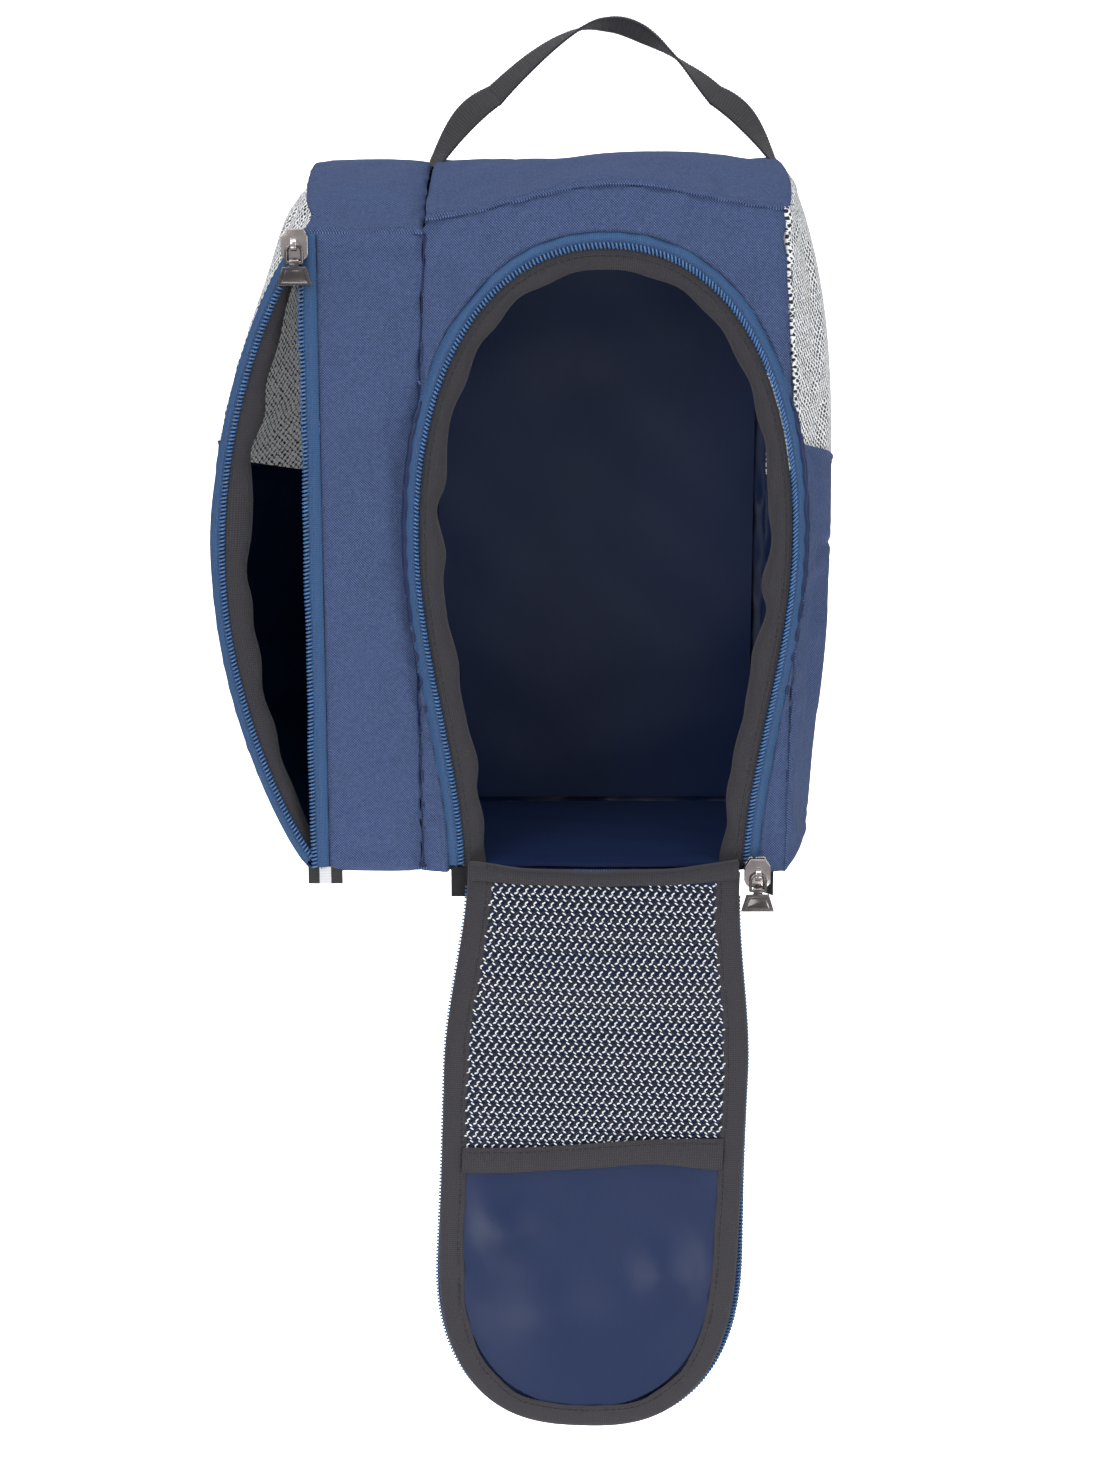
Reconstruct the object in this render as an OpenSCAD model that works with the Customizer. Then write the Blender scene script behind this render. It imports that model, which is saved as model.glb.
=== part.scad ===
// Golf shoe bag: a padded upright bag with a main shoe compartment that opens
// through an arched zip-round door, a zipped side pocket, mesh vent panels in
// both sides and a webbing carry handle. It is drawn hanging from its handle
// with the door dropped open and the side pocket unzipped.
// Origin: centre of the base panel's underside. +Z up, -Y is the front.

/* [Body] */
// Distance between the front corners at the base
body_w = 230; // [200:1:260]
// Depth from front panel to back panel
body_d = 130; // [110:1:150]
// Height of the top panel's back edge
back_top_z = 334; // [320:1:345]
// Height of the side pocket's front top seam
pocket_top_z = 304; // [300:1:310]
// Position across the front of the seam between pocket and main compartment
seam_x = -62; // [-70:1:-55]
// How far the packed side walls swell out
side_bulge = 25.5; // [18:0.5:30]
// Thickness of a lined fabric wall
wall = 1.6; // [1:0.1:2.5]

/* [Main opening] */
// Centre line of the arched opening
door_cx = 26; // [20:1:32]
// Half of the opening's width at the base
mouth_half = 69; // [64:0.5:72]
// Half of the opening's width at its widest
waist_half = 88.5; // [80:0.5:90]
// Height of the widest point
waist_z = 162; // [140:1:180]
// Height of the arch above the widest point
crown_h = 136; // [120:1:140]
// How far the lip of the opening stands forward of the front panel
lip_proud = 7; // [4:0.5:9]

/* [Door] */
// Length of the door from its hinge line
door_len = 291; // [270:1:292]
// Half of the door's width below the hinge
door_half = 74.5; // [68:0.5:75]
// Width of the ribbon that binds the door's edge
binding_w = 12; // [9:0.5:14]
// Sideways lean of the hanging door, in degrees
door_lean = 2; // [0:0.5:3]

/* [Side pocket] */
// Edge of the pocket's front panel beside the zip
pocket_edge_x = -108; // [-110:1:-104]
// How far the unzipped lip bows out
lip_bow = 47; // [30:1:50]

/* [Zips] */
// Visible width of a zip tape
tape_w = 5.2; // [4:0.1:7]
// Radius of a zip coil
coil_r = 1.2; // [1:0.05:1.4]
// Width of a slider body
slider_w = 12.4; // [11:0.1:13.5]
// Length of a slider body
slider_l = 14; // [12:0.5:16]

/* [Handle] */
// Width of the handle webbing
webbing_w = 20; // [18:0.5:25]
// Height of the handle's arch above its sewn ends
handle_rise = 67; // [50:1:80]
// Depth position of the handle
handle_y = 15; // [-10:1:25]

/* [Hidden] */

navy = "#2f4674";
tape_blue = "#2a4f80";
charcoal = "#3a383b";
lining_blue = "#1e2f57";
metal = "#9c989a";
net_grey = "#b9bec6";

front_y = -body_d / 2;
back_y = body_d / 2;
corner_x = body_w / 2;
gap = 0.2;              // clearance between neighbouring panels
crown_p = 2.2;          // roundness of the arch
top_dome = 3;           // extra rise in the middle of the top panels
tape_t = 0.8;           // thickness of a zip tape
facing_w = 13;          // width of the ribbon facing inside an opening
seam_top_x = seam_x + 4.5;
corner_top_x = corner_x - 7;
left_top_x = -corner_x + 9;
right_front_top = 316;  // main top seam height at the right corner
left_front_top = 310;   // main top seam height at the pocket seam
arch_rise = 13;         // rise of the top seam over the arch
mesh_front_z = 208;     // top of the side fabric at the front
mesh_back_z = 178;      // top of the side fabric at the back
lip_top_z = 300;        // top end of the pocket zip
hinge_y = front_y - 5.4;
hinge_z = -1;
slider_t = 6.4;         // thickness of a slider, front to back
ring_r = 3.6;           // centre-line radius of a pull ring
wire_r = 0.75;          // radius of the ring's wire
ring_drop = 8;          // from the bridge to the pull's bar
plate_h = 8.4;          // height of a pull plate
pocket_slider_x = -116.4;
pocket_slider_z = 298.5;
pocket_coil_x = -114.2;
pocket_coil_y = front_y - 1.6;
main_slider_x = 100.2;
main_slider_z = 1.5;
main_slider_y = front_y - 4.4;
handle_x0 = seam_top_x + 0.5;
handle_x1 = corner_top_x + 2.5;
handle_z = 333;         // where the webbing is sewn down
handle_pivot_z = 345;   // where the webbing starts to flex

// ---- small maths helpers ----
function lerp(a, b, t) = a + (b - a) * t;
function clamp01(t) = min(1, max(0, t));
function ease(t) = let (s = clamp01(t)) s * s * (3 - 2 * s);
function hump(t) = sin(180 * clamp01(t));
function spow(c, p) = sign(c) * pow(abs(c), p);

// ---- mesh helpers ----
function tri_volume(p, f) = [for (t = f) p[t[0]] * cross(p[t[1]], p[t[2]])];
function total(v) = v * [for (i = v) 1];
function flip(f) = [for (t = f) [t[0], t[2], t[1]]];
function outward(p, f) = total(tri_volume(p, f)) > 0 ? flip(f) : f;

// Closed solid between two matching grids of points, [row][column]
module sheet(outer, inner) {
    rows = len(outer);
    cols = len(outer[0]);
    n = rows * cols;
    points = concat([for (r = outer, p = r) p], [for (r = inner, p = r) p]);
    function at(i, j) = i * cols + j;
    function edge(a, b) = [[a, b, b + n], [a, b + n, a + n]];
    faces = concat(
        [for (i = [0:rows - 2], j = [0:cols - 2])
            each [[at(i, j), at(i, j + 1), at(i + 1, j + 1)],
                  [at(i, j), at(i + 1, j + 1), at(i + 1, j)]]],
        [for (i = [0:rows - 2], j = [0:cols - 2])
            each [[n + at(i, j), n + at(i + 1, j + 1), n + at(i, j + 1)],
                  [n + at(i, j), n + at(i + 1, j), n + at(i + 1, j + 1)]]],
        [for (j = [0:cols - 2]) each edge(at(0, j + 1), at(0, j))],
        [for (j = [0:cols - 2]) each edge(at(rows - 1, j), at(rows - 1, j + 1))],
        [for (i = [0:rows - 2]) each edge(at(i, 0), at(i + 1, 0))],
        [for (i = [0:rows - 2]) each edge(at(i + 1, cols - 1), at(i, cols - 1))]);
    polyhedron(points, outward(points, faces), convexity = 8);
}

// Closed solid through matching convex rings of points
module loft(rings) {
    m = len(rings[0]);
    last = len(rings) - 1;
    points = [for (r = rings, p = r) p];
    faces = concat(
        [for (i = [0:last - 1], j = [0:m - 1]) let (k = (j + 1) % m)
            each [[i * m + j, i * m + k, i * m + m + k],
                  [i * m + j, i * m + m + k, i * m + m + j]]],
        [for (j = [1:m - 2]) [0, j + 1, j]],
        [for (j = [1:m - 2]) [last * m, last * m + j, last * m + j + 1]]);
    polyhedron(points, outward(points, faces), convexity = 8);
}

// Plate in the XZ plane between y0 (front) and y1 (back)
module upright_plate(outline, y0, y1) {
    translate([0, y1, 0])
        rotate([90, 0, 0])
            linear_extrude(y1 - y0)
                polygon(outline);
}

// ---- outer surface of the body ----
// x of the seam between pocket and main compartment at height z
function divide_x(z) = lerp(seam_x, seam_top_x, pow(clamp01(z / 310), 3)) - 2 * hump(z / 310);
// x of the front right corner and of the left corner
function right_x(z) = lerp(corner_x, corner_top_x, pow(clamp01(z / 316), 3)) + 2 * hump(z / 316);
function left_x(z) = -lerp(corner_x, -left_top_x, pow(clamp01(z / 304), 3));
function back_right_x(z) = lerp(corner_x - 1, corner_top_x + 4, pow(clamp01(z / 334), 3));
// Swell of a side wall at mid depth
function swell(z) = z < 190
    ? lerp(0.63, 1, ease(z / 150)) * side_bulge
    : side_bulge * (1 - pow((z - 190) / 150, 3));
function swell_at(t, z) = swell(z) * pow(hump(t), 0.8);
// Height of the front top seam
function main_u(x) = clamp01((x - seam_top_x) / (corner_top_x - seam_top_x));
function front_top(x) = x < seam_top_x ? pocket_top_z
    : lerp(left_front_top, right_front_top, main_u(x)) + arch_rise * pow(hump(main_u(x)), 1.6);
// Height of the top at depth t (0 front, 1 back)
function top_z(x, t) = lerp(front_top(x), back_top_z, 1 - pow(1 - t, 2.2)) + top_dome * hump(t);
function depth_y(t) = lerp(front_y, back_y, t);
// Right wall
function right_wall(t, z) = [
    lerp(right_x(z), back_right_x(z), t) + swell_at(t, z),
    lerp(front_y, back_y - wall - gap, t), z];
// Left wall: its front edge is the bowed lip of the pocket opening
function lip_bulge(z) = pow(hump(z / (lip_top_z + 10)), 0.75);
function lip_x(z) = left_x(z) - lip_bow * lip_bulge(z);
function lip_y(z) = front_y + 1 + 9 * lip_bulge(z);
function left_wall(t, z) = [
    lerp(lip_x(z), -back_right_x(z), t) - swell_at(t, z),
    lerp(lip_y(z), back_y - wall - gap, t), z];
function mesh_z(t) = lerp(mesh_front_z, mesh_back_z, t);

// ---- outline of the main opening ----
function opening_half(z) = z < waist_z
    ? lerp(mouth_half, waist_half, ease(z / waist_z))
    : waist_half * pow(1 - pow((z - waist_z) / crown_h, crown_p), 1 / crown_p);
function crown(a, grow) = [
    door_cx - (waist_half + grow) * spow(cos(a), 2 / crown_p),
    waist_z + (crown_h + grow) * pow(max(0, sin(a)), 2 / crown_p)];
function corner_angle(dx, dz) = atan(pow(dz / dx * waist_half / crown_h, crown_p / 2));
left_corner_a = corner_angle(door_cx - seam_top_x, left_front_top - waist_z);
right_corner_a = 180 - corner_angle(corner_top_x - door_cx, right_front_top - waist_z);
leg_steps = 7;
crown_steps = 8;
crown_angles = concat(
    [for (i = [0:crown_steps - 1]) lerp(0, left_corner_a, i / crown_steps)],
    [for (i = [0:crown_steps - 1]) lerp(left_corner_a, right_corner_a, i / crown_steps)],
    [for (i = [0:crown_steps]) lerp(right_corner_a, 180, i / crown_steps)]);
function leg(side, z, grow) = [door_cx + side * (opening_half(z) + grow), z];
function opening_path(grow, z0 = 0.5) = concat(
    [for (i = [0:leg_steps - 1]) leg(-1, lerp(z0, waist_z, i / leg_steps), grow)],
    [for (a = crown_angles) crown(a, grow)],
    [for (i = [leg_steps - 1:-1:0]) leg(1, lerp(z0, waist_z, i / leg_steps), grow)]);
// How far the lip stands proud at height z, from 0 to 1
function lip_out(z) = hump(z / (waist_z + crown_h + 4));

// Point of the front panel's sewn edge that faces a point of the opening
function side_edge(x, z) = x < door_cx ? divide_x(z) + gap : right_x(z) - wall - gap;
function sewn_edge(p) = p[1] < waist_z
    ? [side_edge(p[0], p[1]), p[1]]
    : let (dx = p[0] - door_cx, dz = p[1] - waist_z,
           k0 = abs(dx) < 1 ? 1000 : (side_edge(p[0], waist_z) - door_cx) / dx,
           k1 = k0 > 100 ? k0 : (side_edge(p[0], waist_z + dz * k0) - door_cx) / dx,
           m0 = dz < 1 ? 1000 : (front_top(p[0]) - waist_z) / dz,
           m1 = m0 > 100 ? m0 : (front_top(door_cx + dx * m0) - wall - gap - waist_z) / dz,
           k = min(k1, m1))
      [door_cx + dx * k, waist_z + dz * k];

// ---- body panels ----
module base_panel() {
    n = 12;
    inset = wall + gap;
    function edge_y(i) = lerp(front_y + inset, back_y - inset, i / n);
    right = [for (i = [0:n]) [right_wall(i / n, 0)[0] - inset - gap, edge_y(i)]];
    left = [for (i = [n:-1:0]) [left_wall(i / n, 0)[0] + inset + gap, edge_y(i)]];
    color(navy) linear_extrude(1.4) polygon(concat(right, left));
}

module base_board() {
    color("dimgray")
        translate([-corner_x + 6, front_y + 4, 1.6])
            cube([body_w - 12, body_d - 12, 2]);
}

module back_sheet(y, t, x0, x1, z0, inset) {
    rows = 9;
    cols = 7;
    function point(i, j, dy) = let (
        u = i / rows,
        x = lerp(x0, x1, u),
        z = lerp(z0, back_top_z - wall - inset, j / cols))
        [x, y + 4 * hump(u) * hump(z / back_top_z) + dy, z];
    sheet([for (i = [0:rows]) [for (j = [0:cols]) point(i, j, 0)]],
          [for (i = [0:rows]) [for (j = [0:cols]) point(i, j, -t)]]);
}

module back_panel() {
    edge = corner_top_x + 3;
    color(navy) back_sheet(back_y, wall, -edge, edge, 0, gap);
}

module back_lining() {
    color(lining_blue)
        back_sheet(back_y - 2.4, 0.6, seam_x + 4, corner_top_x - 2, 5, 4);
}

module divider_panel() {
    cols = 8;
    function point(i, j, dx) = let (
        t = lerp(0.02, 0.95, i / cols),
        z = lerp(4.2, top_z(seam_x - 1, t) - 2.6, j / cols))
        [divide_x(z) + 1.4 + dx, depth_y(t), z];
    color(lining_blue)
        sheet([for (i = [0:cols]) [for (j = [0:cols]) point(i, j, 0)]],
              [for (i = [0:cols]) [for (j = [0:cols]) point(i, j, 0.8)]]);
}

// Top sheet between two x positions given as functions of depth
module top_sheet(left_front, left_mid, right_front, right_mid) {
    rows = 10;
    cols = 8;
    function x_at(u, t) = lerp(lerp(left_front, left_mid, pow(hump(t / 2), 0.8)),
                               lerp(right_front, right_mid, pow(hump(t / 2), 0.8)), u);
    function point(i, j, dz) = let (t = j / cols, x = x_at(i / rows, t))
        [x, depth_y(t), top_z(x, t) + dz];
    sheet([for (i = [0:rows]) [for (j = [0:cols]) point(i, j, 0)]],
          [for (i = [0:rows]) [for (j = [0:cols]) point(i, j, -wall)]]);
}

module main_top_panel() {
    color(navy)
        top_sheet(seam_top_x + gap, seam_top_x + gap, corner_top_x, corner_top_x + 5);
}

module pocket_top_panel() {
    color(navy)
        top_sheet(left_top_x, left_top_x - 8, seam_top_x - gap, seam_top_x - gap);
}

module main_front_panel() {
    steps = 4;
    path = opening_path(tape_w + coil_r + gap);
    edge = [for (p = opening_path(0)) sewn_edge(p)];
    function point(i, j, dy) = let (
        v = j / steps,
        a = path[i],
        p = lerp(a, edge[i], v),
        proud = (0.5 + (lip_proud - 3) * lip_out(a[1])) * (1 - ease(v)))
        [p[0], front_y - proud + dy, p[1]];
    count = len(path) - 1;
    color(navy)
        sheet([for (i = [0:count]) [for (j = [0:steps]) point(i, j, 0)]],
              [for (i = [0:count]) [for (j = [0:steps]) point(i, j, wall)]]);
}

module pocket_front_panel() {
    rows = 4;
    cols = 9;
    function point(i, j, dy) = let (
        z = lerp(0, pocket_top_z - wall - gap, j / cols),
        x = lerp(pocket_edge_x, divide_x(z) - 1.2, i / rows))
        [x, front_y - 0.6 * hump(i / rows) + dy, z];
    color(navy)
        sheet([for (i = [0:rows]) [for (j = [0:cols]) point(i, j, 0)]],
              [for (i = [0:rows]) [for (j = [0:cols]) point(i, j, wall)]]);
}

// Part of a side wall between two heights given as functions of depth
module side_sheet(right, upper) {
    rows = 12;
    cols = 9;
    side = right ? 1 : -1;
    function top_edge(t) = let (x = right ? corner_top_x : left_top_x)
        top_z(x, t) - wall - gap;
    function point(i, j, dx) = let (
        t = i / rows,
        z = upper ? lerp(mesh_z(t) + gap, top_edge(t), j / cols)
                  : lerp(0, mesh_z(t) - gap, j / cols),
        p = right ? right_wall(t, z) : left_wall(t, z))
        [p[0] + dx, p[1], p[2]];
    sheet([for (i = [0:rows]) [for (j = [0:cols]) point(i, j, 0)]],
          [for (i = [0:rows]) [for (j = [0:cols]) point(i, j, -side * wall)]]);
}

module right_side_panel() { color(navy) side_sheet(true, false); }
module right_side_mesh() { color(net_grey) side_sheet(true, true); }
module left_side_panel() { color(navy) side_sheet(false, false); }
module left_side_mesh() { color(net_grey) side_sheet(false, true); }

// ---- zip round the main opening ----
// Flat strip that follows the opening between two offsets
module opening_strip(grow0, grow1, y0, y1, thick, z0) {
    inner = opening_path(grow0, z0);
    outer = opening_path(grow1, z0);
    function lift(p, y, dy) = [p[0], front_y + y[0] + y[1] * lip_out(p[1]) + dy, p[1]];
    count = len(inner) - 1;
    sheet([for (i = [0:count]) [lift(inner[i], y0, 0), lift(outer[i], y1, 0)]],
          [for (i = [0:count]) [lift(inner[i], y0, thick), lift(outer[i], y1, thick)]]);
}

module main_zip_tape() {
    color(tape_blue)
        opening_strip(coil_r + gap / 2, coil_r + tape_w, [-1.2, -lip_proud], [-0.6, -lip_proud + 3], tape_t, 10);
}

module main_facing() {
    color(charcoal)
        opening_strip(-coil_r - facing_w, -coil_r - 0.4, [8, 0], [2, -lip_proud + 0.5], 1, 5);
}

module main_zip_coil() {
    sides = 6;
    path = opening_path(0, 10);
    centre = [door_cx, waist_z];
    function ring(p) = let (d = (p - centre) / norm(p - centre))
        [for (k = [0:sides - 1]) let (a = 360 * k / sides)
            [p[0] + d[0] * coil_r * cos(a),
             front_y - 1 - lip_proud * lip_out(p[1]) + coil_r * sin(a),
             p[1] + d[1] * coil_r * cos(a)]];
    color(tape_blue) loft([for (p = path) ring(p)]);
}

module sill_band() {
    color(charcoal)
        translate([door_cx - mouth_half + 4, front_y - 1.1, -1])
            cube([2 * mouth_half - 10, 0.9, 7]);
}

// ---- side pocket zip ----
module pocket_zip_tape() {
    color(tape_blue)
        translate([pocket_coil_x + coil_r + gap / 2, pocket_coil_y - tape_t / 2, 4])
            cube([pocket_edge_x - pocket_coil_x - coil_r - gap, tape_t, lip_top_z - 6]);
}

module pocket_zip_coil() {
    color(tape_blue)
        translate([pocket_coil_x, pocket_coil_y, 4])
            cylinder(h = lip_top_z - 6, r = coil_r, $fn = 24);
}

lip_steps = 24;
function lip_z(i) = lerp(8, lip_top_z - 20, i / lip_steps);

module pocket_lip_tape() {
    function point(i, j, dx) = let (z = lip_z(i))
        [lip_x(z) + 1.6 * j + dx, lip_y(z) - 0.3 - 4 * j, z];
    color(tape_blue)
        sheet([for (i = [0:lip_steps]) [point(i, 0, 0), point(i, 1, 0)]],
              [for (i = [0:lip_steps]) [point(i, 0, tape_t), point(i, 1, tape_t)]]);
}

module pocket_lip_coil() {
    sides = 6;
    function ring(z) = [for (k = [0:sides - 1]) let (a = 360 * k / sides)
        [lip_x(z) + 2 + coil_r * cos(a), lip_y(z) - 5.6 + coil_r * sin(a), z]];
    color(tape_blue) loft([for (i = [0:lip_steps]) ring(lip_z(i))]);
}

module pocket_lip_facing() {
    function point(i, j, dy) = let (z = lip_z(i))
        [lip_x(z) + 4 + facing_w * j * lip_bulge(z), lip_y(z) - 4.4 + 8 * j + dy, z];
    color(charcoal)
        sheet([for (i = [0:lip_steps]) [point(i, 0, 0), point(i, 1, 0)]],
              [for (i = [0:lip_steps]) [point(i, 0, 1), point(i, 1, 1)]]);
}

// ---- folded ribbon tabs at the zip ends ----
module ribbon_tab(x, w, drop) {
    color("#222222")
        translate([x - w / 2, front_y + gap / 2, -gap - drop])
            cube([w, wall - gap, drop]);
}
module pocket_zip_tab() { ribbon_tab(-109, 16.5, 5.5); }
module main_zip_tab_left() { ribbon_tab(-43.5, 9, 12); }
module main_zip_tab_right() { ribbon_tab(104, 9, 10); }

// ---- zip sliders ----
// Slider body round the local origin, with a channel for each coil
module slider_body() {
    half = slider_w / 2;
    shoulder = slider_w * 0.3;
    outline = [[-shoulder, slider_l / 2], [shoulder, slider_l / 2], [half, slider_l / 4],
               [half, -slider_l / 2 + 2], [half - 2, -slider_l / 2], [-half + 2, -slider_l / 2],
               [-half, -slider_l / 2 + 2], [-half, slider_l / 4]];
    channel_h = 3.4;
    difference() {
        upright_plate(outline, -slider_t / 2, slider_t / 2);
        for (side = [-1, 1]) {
            translate([side > 0 ? -0.9 : -half + 1.4, -channel_h / 2, -slider_l])
                cube([side > 0 ? half - 0.6 : half - 3.6, channel_h, 2 * slider_l]);
            translate([side > 0 ? 1 : -half - 1, -0.8, -slider_l])
                cube([side > 0 ? half : half - 2.5, 1.6, 2 * slider_l]);
        }
    }
}

// Arch over the slider that the pull ring passes through
module slider_bridge() {
    foot = slider_t / 2;
    outer = 3;
    inner = 1.35;
    translate([-1.4, 0, 0])
        rotate([90, 0, 90])
            linear_extrude(2.8)
                difference() {
                    union() {
                        translate([-foot - 1.9, 0]) circle(outer, $fn = 32);
                        translate([-foot - 1.9, -outer]) square([1.9 - gap / 4, 2 * outer]);
                    }
                    translate([-foot - 1.9, 0]) circle(inner, $fn = 32);
                    translate([-foot + 1 - gap / 4, 0]) square([2, 8], center = true);
                }
}

module rod(a, b) {
    d = b - a;
    translate(a)
        rotate([0, acos(d[2] / norm(d)), atan2(d[1], d[0])])
            cylinder(h = norm(d), r = wire_r, $fn = 16);
}

// D-shaped wire ring hanging from its top wire at the local origin
module pull_ring() {
    translate([0, 0, -ring_r])
        rotate([90, 0, 0])
            rotate_extrude(angle = 180, $fn = 48)
                translate([ring_r, 0]) circle(wire_r, $fn = 16);
    for (side = [-1, 1]) {
        rod([side * ring_r, 0, -ring_r], [side * ring_r, 0, -ring_drop]);
        translate([side * ring_r, 0, -ring_drop]) sphere(wire_r, $fn = 16);
    }
    rod([-ring_r, 0, -ring_drop], [ring_r, 0, -ring_drop]);
}

// Trapezoid pull hanging on the ring's lower bar at the local origin
module pull_plate() {
    lug_r = 1.7;
    difference() {
        union() {
            translate([-2.2, 0, 0]) rotate([0, 90, 0]) cylinder(h = 4.4, r = lug_r, $fn = 32);
            upright_plate([[-2.2, 0], [2.2, 0], [2.2, -2.2], [-2.2, -2.2]], -0.9, 0.9);
            upright_plate([[-5.5, -2], [5.5, -2], [8, -2 - plate_h], [-8, -2 - plate_h]], -0.9, 0.9);
        }
        translate([-3, 0, 0]) rotate([0, 90, 0]) cylinder(h = 6, r = wire_r + 0.25, $fn = 32);
        upright_plate([[-4.2, -3.4], [4.2, -3.4], [6.1, -0.8 - plate_h], [-6.1, -0.8 - plate_h]], -1, -0.4);
    }
}

bridge_drop = slider_t / 2 + 1.9;

module at_pocket_slider() { translate([pocket_slider_x, pocket_coil_y, pocket_slider_z]) children(); }
module at_main_slider() { translate([main_slider_x, main_slider_y, main_slider_z]) children(); }

module pocket_slider() { color(metal) at_pocket_slider() slider_body(); }
module pocket_slider_bridge() { color(metal) at_pocket_slider() slider_bridge(); }
module pocket_pull_ring() { color(metal) at_pocket_slider() translate([0, -bridge_drop, 0]) pull_ring(); }
module pocket_pull_plate() {
    color(metal) at_pocket_slider() translate([0, -bridge_drop, -ring_drop]) pull_plate();
}
module main_slider() { color(metal) at_main_slider() slider_body(); }
module main_slider_bridge() { color(metal) at_main_slider() slider_bridge(); }
module main_pull_ring() { color(metal) at_main_slider() translate([0, -bridge_drop, 0]) pull_ring(); }
module main_pull_plate() {
    color(metal) at_main_slider() translate([0, -bridge_drop, -ring_drop]) pull_plate();
}

// ---- webbing handle ----
function handle_point(t) = [
    lerp(handle_x0, handle_x1, t),
    handle_y,
    handle_z + handle_rise * (1 - pow(abs(2 * t - 1), 1.3))];

module webbing(t0, t1, steps) {
    thick = 1.6;
    function normal(t) = let (d = handle_point(t + 0.01) - handle_point(t - 0.01), n = norm(d))
        [-d[2] / n, 0, d[0] / n];
    function ring(t) = let (p = handle_point(t), n = normal(t) * thick / 2, w = [0, webbing_w / 2, 0])
        [p - n - w, p + n - w, p + n + w, p - n + w];
    loft([for (i = [0:steps]) ring(lerp(t0, t1, i / steps))]);
}

function handle_t(z) = (1 - pow(1 - (z - handle_z) / handle_rise, 1 / 1.3)) / 2;
pivot_t = handle_t(handle_pivot_z);
foot_t = handle_t(handle_z + 3);

module handle_end_left() { color(charcoal) webbing(foot_t, pivot_t - 0.003, 3); }
module handle_end_right() { color(charcoal) webbing(1 - pivot_t + 0.003, 1 - foot_t, 3); }
module handle_webbing() { color(charcoal) webbing(pivot_t + 0.003, 1 - pivot_t - 0.003, 30); }

// ---- door, drawn from its hinge line downwards ----
door_tip = 100;         // length of the rounded end
door_taper = 100;       // length over which the door widens below its hinge
function door_w_at(s) = s < door_len - door_tip
    ? lerp(mouth_half - 3.5, door_half, ease(s / door_taper))
    : door_half * pow(max(0, 1 - pow((s - door_len + door_tip) / door_tip, 2.6)), 1 / 2.6);

// Outline of the door set in by a margin, from s0 down to s1
function door_outline(inset, s0, s1) = let (
    n = 30,
    scale_tip = (door_len - inset) / door_len,
    s_list = [for (i = [0:n]) lerp(s0, s1, sin(90 * i / n))],
    half = [for (s = s_list) max(0.05, door_w_at(s / scale_tip) - inset)])
    concat([for (i = [0:n]) [-half[i], -s_list[i]]],
           [for (i = [n:-1:0]) [half[i], -s_list[i]]]);

module on_door(tone) {
    color(tone)
        translate([door_cx, hinge_y, hinge_z])
            rotate([0, door_lean, 0])
                children();
}

module door_outer() {
    on_door(navy) upright_plate(door_outline(0.8, 2, door_len - 0.8), 1.2, 2.5);
}
module door_foam() {
    on_door("gray") upright_plate(door_outline(binding_w + gap, 3, door_len - binding_w - gap), -1.2, 1);
}
module door_lining() {
    on_door(lining_blue)
        upright_plate(door_outline(binding_w + gap, 3, door_len - binding_w - gap), -1.9, -1.3);
}
module door_binding() {
    on_door(charcoal) difference() {
        upright_plate(door_outline(0, 2, door_len), -2.5, 1);
        upright_plate(door_outline(binding_w, 0, door_len - binding_w), -3, 2);
    }
}
module door_mesh_pocket() {
    on_door(net_grey) upright_plate(door_outline(binding_w + gap, 3, 142), -2.6, -2);
}
module door_pocket_band() {
    on_door(charcoal) upright_plate(door_outline(binding_w + gap, 142.2, 157), -2.9, -2);
}
module door_hinge_band() {
    half = door_w_at(4) - binding_w - 1;
    on_door(charcoal)
        upright_plate([[-half, -2.2], [half, -2.2], [half, -9], [-half, -9]], -3.4, -2.7);
}

// Strip of the door's zip on its outer side, between two insets from the door's edge
module door_zip_band(inset0, inset1, y0, y1) {
    inner = door_outline(inset0, 8, door_len - inset0);
    outer = door_outline(inset1, 8, door_len - inset1);
    count = len(inner) - 1;
    function row(i, y) = [[inner[i][0], y, inner[i][1]], [outer[i][0], y, outer[i][1]]];
    sheet([for (i = [0:count]) row(i, y0)], [for (i = [0:count]) row(i, y1)]);
}
module door_zip_tape() { on_door(tape_blue) door_zip_band(9, 2.5, 2.6, 3.2); }
module door_zip_coil() { on_door(tape_blue) door_zip_band(2.3, 0, 2.6, 4.4); }

base_panel();
base_board();
back_panel();
back_lining();
divider_panel();
main_top_panel();
pocket_top_panel();
main_front_panel();
pocket_front_panel();
right_side_panel();
right_side_mesh();
left_side_panel();
left_side_mesh();
main_facing();
main_zip_tape();
main_zip_coil();
sill_band();
pocket_zip_tape();
pocket_zip_coil();
pocket_lip_tape();
pocket_lip_coil();
pocket_lip_facing();
pocket_zip_tab();
main_zip_tab_left();
main_zip_tab_right();
handle_end_left();
handle_end_right();
main_slider();
main_slider_bridge();
handle_webbing();
pocket_slider();
pocket_slider_bridge();
pocket_pull_ring();
pocket_pull_plate();
main_pull_ring();
main_pull_plate();
door_outer();
door_foam();
door_lining();
door_binding();
door_mesh_pocket();
door_pocket_band();
door_zip_tape();
door_zip_coil();
door_hinge_band();
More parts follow.
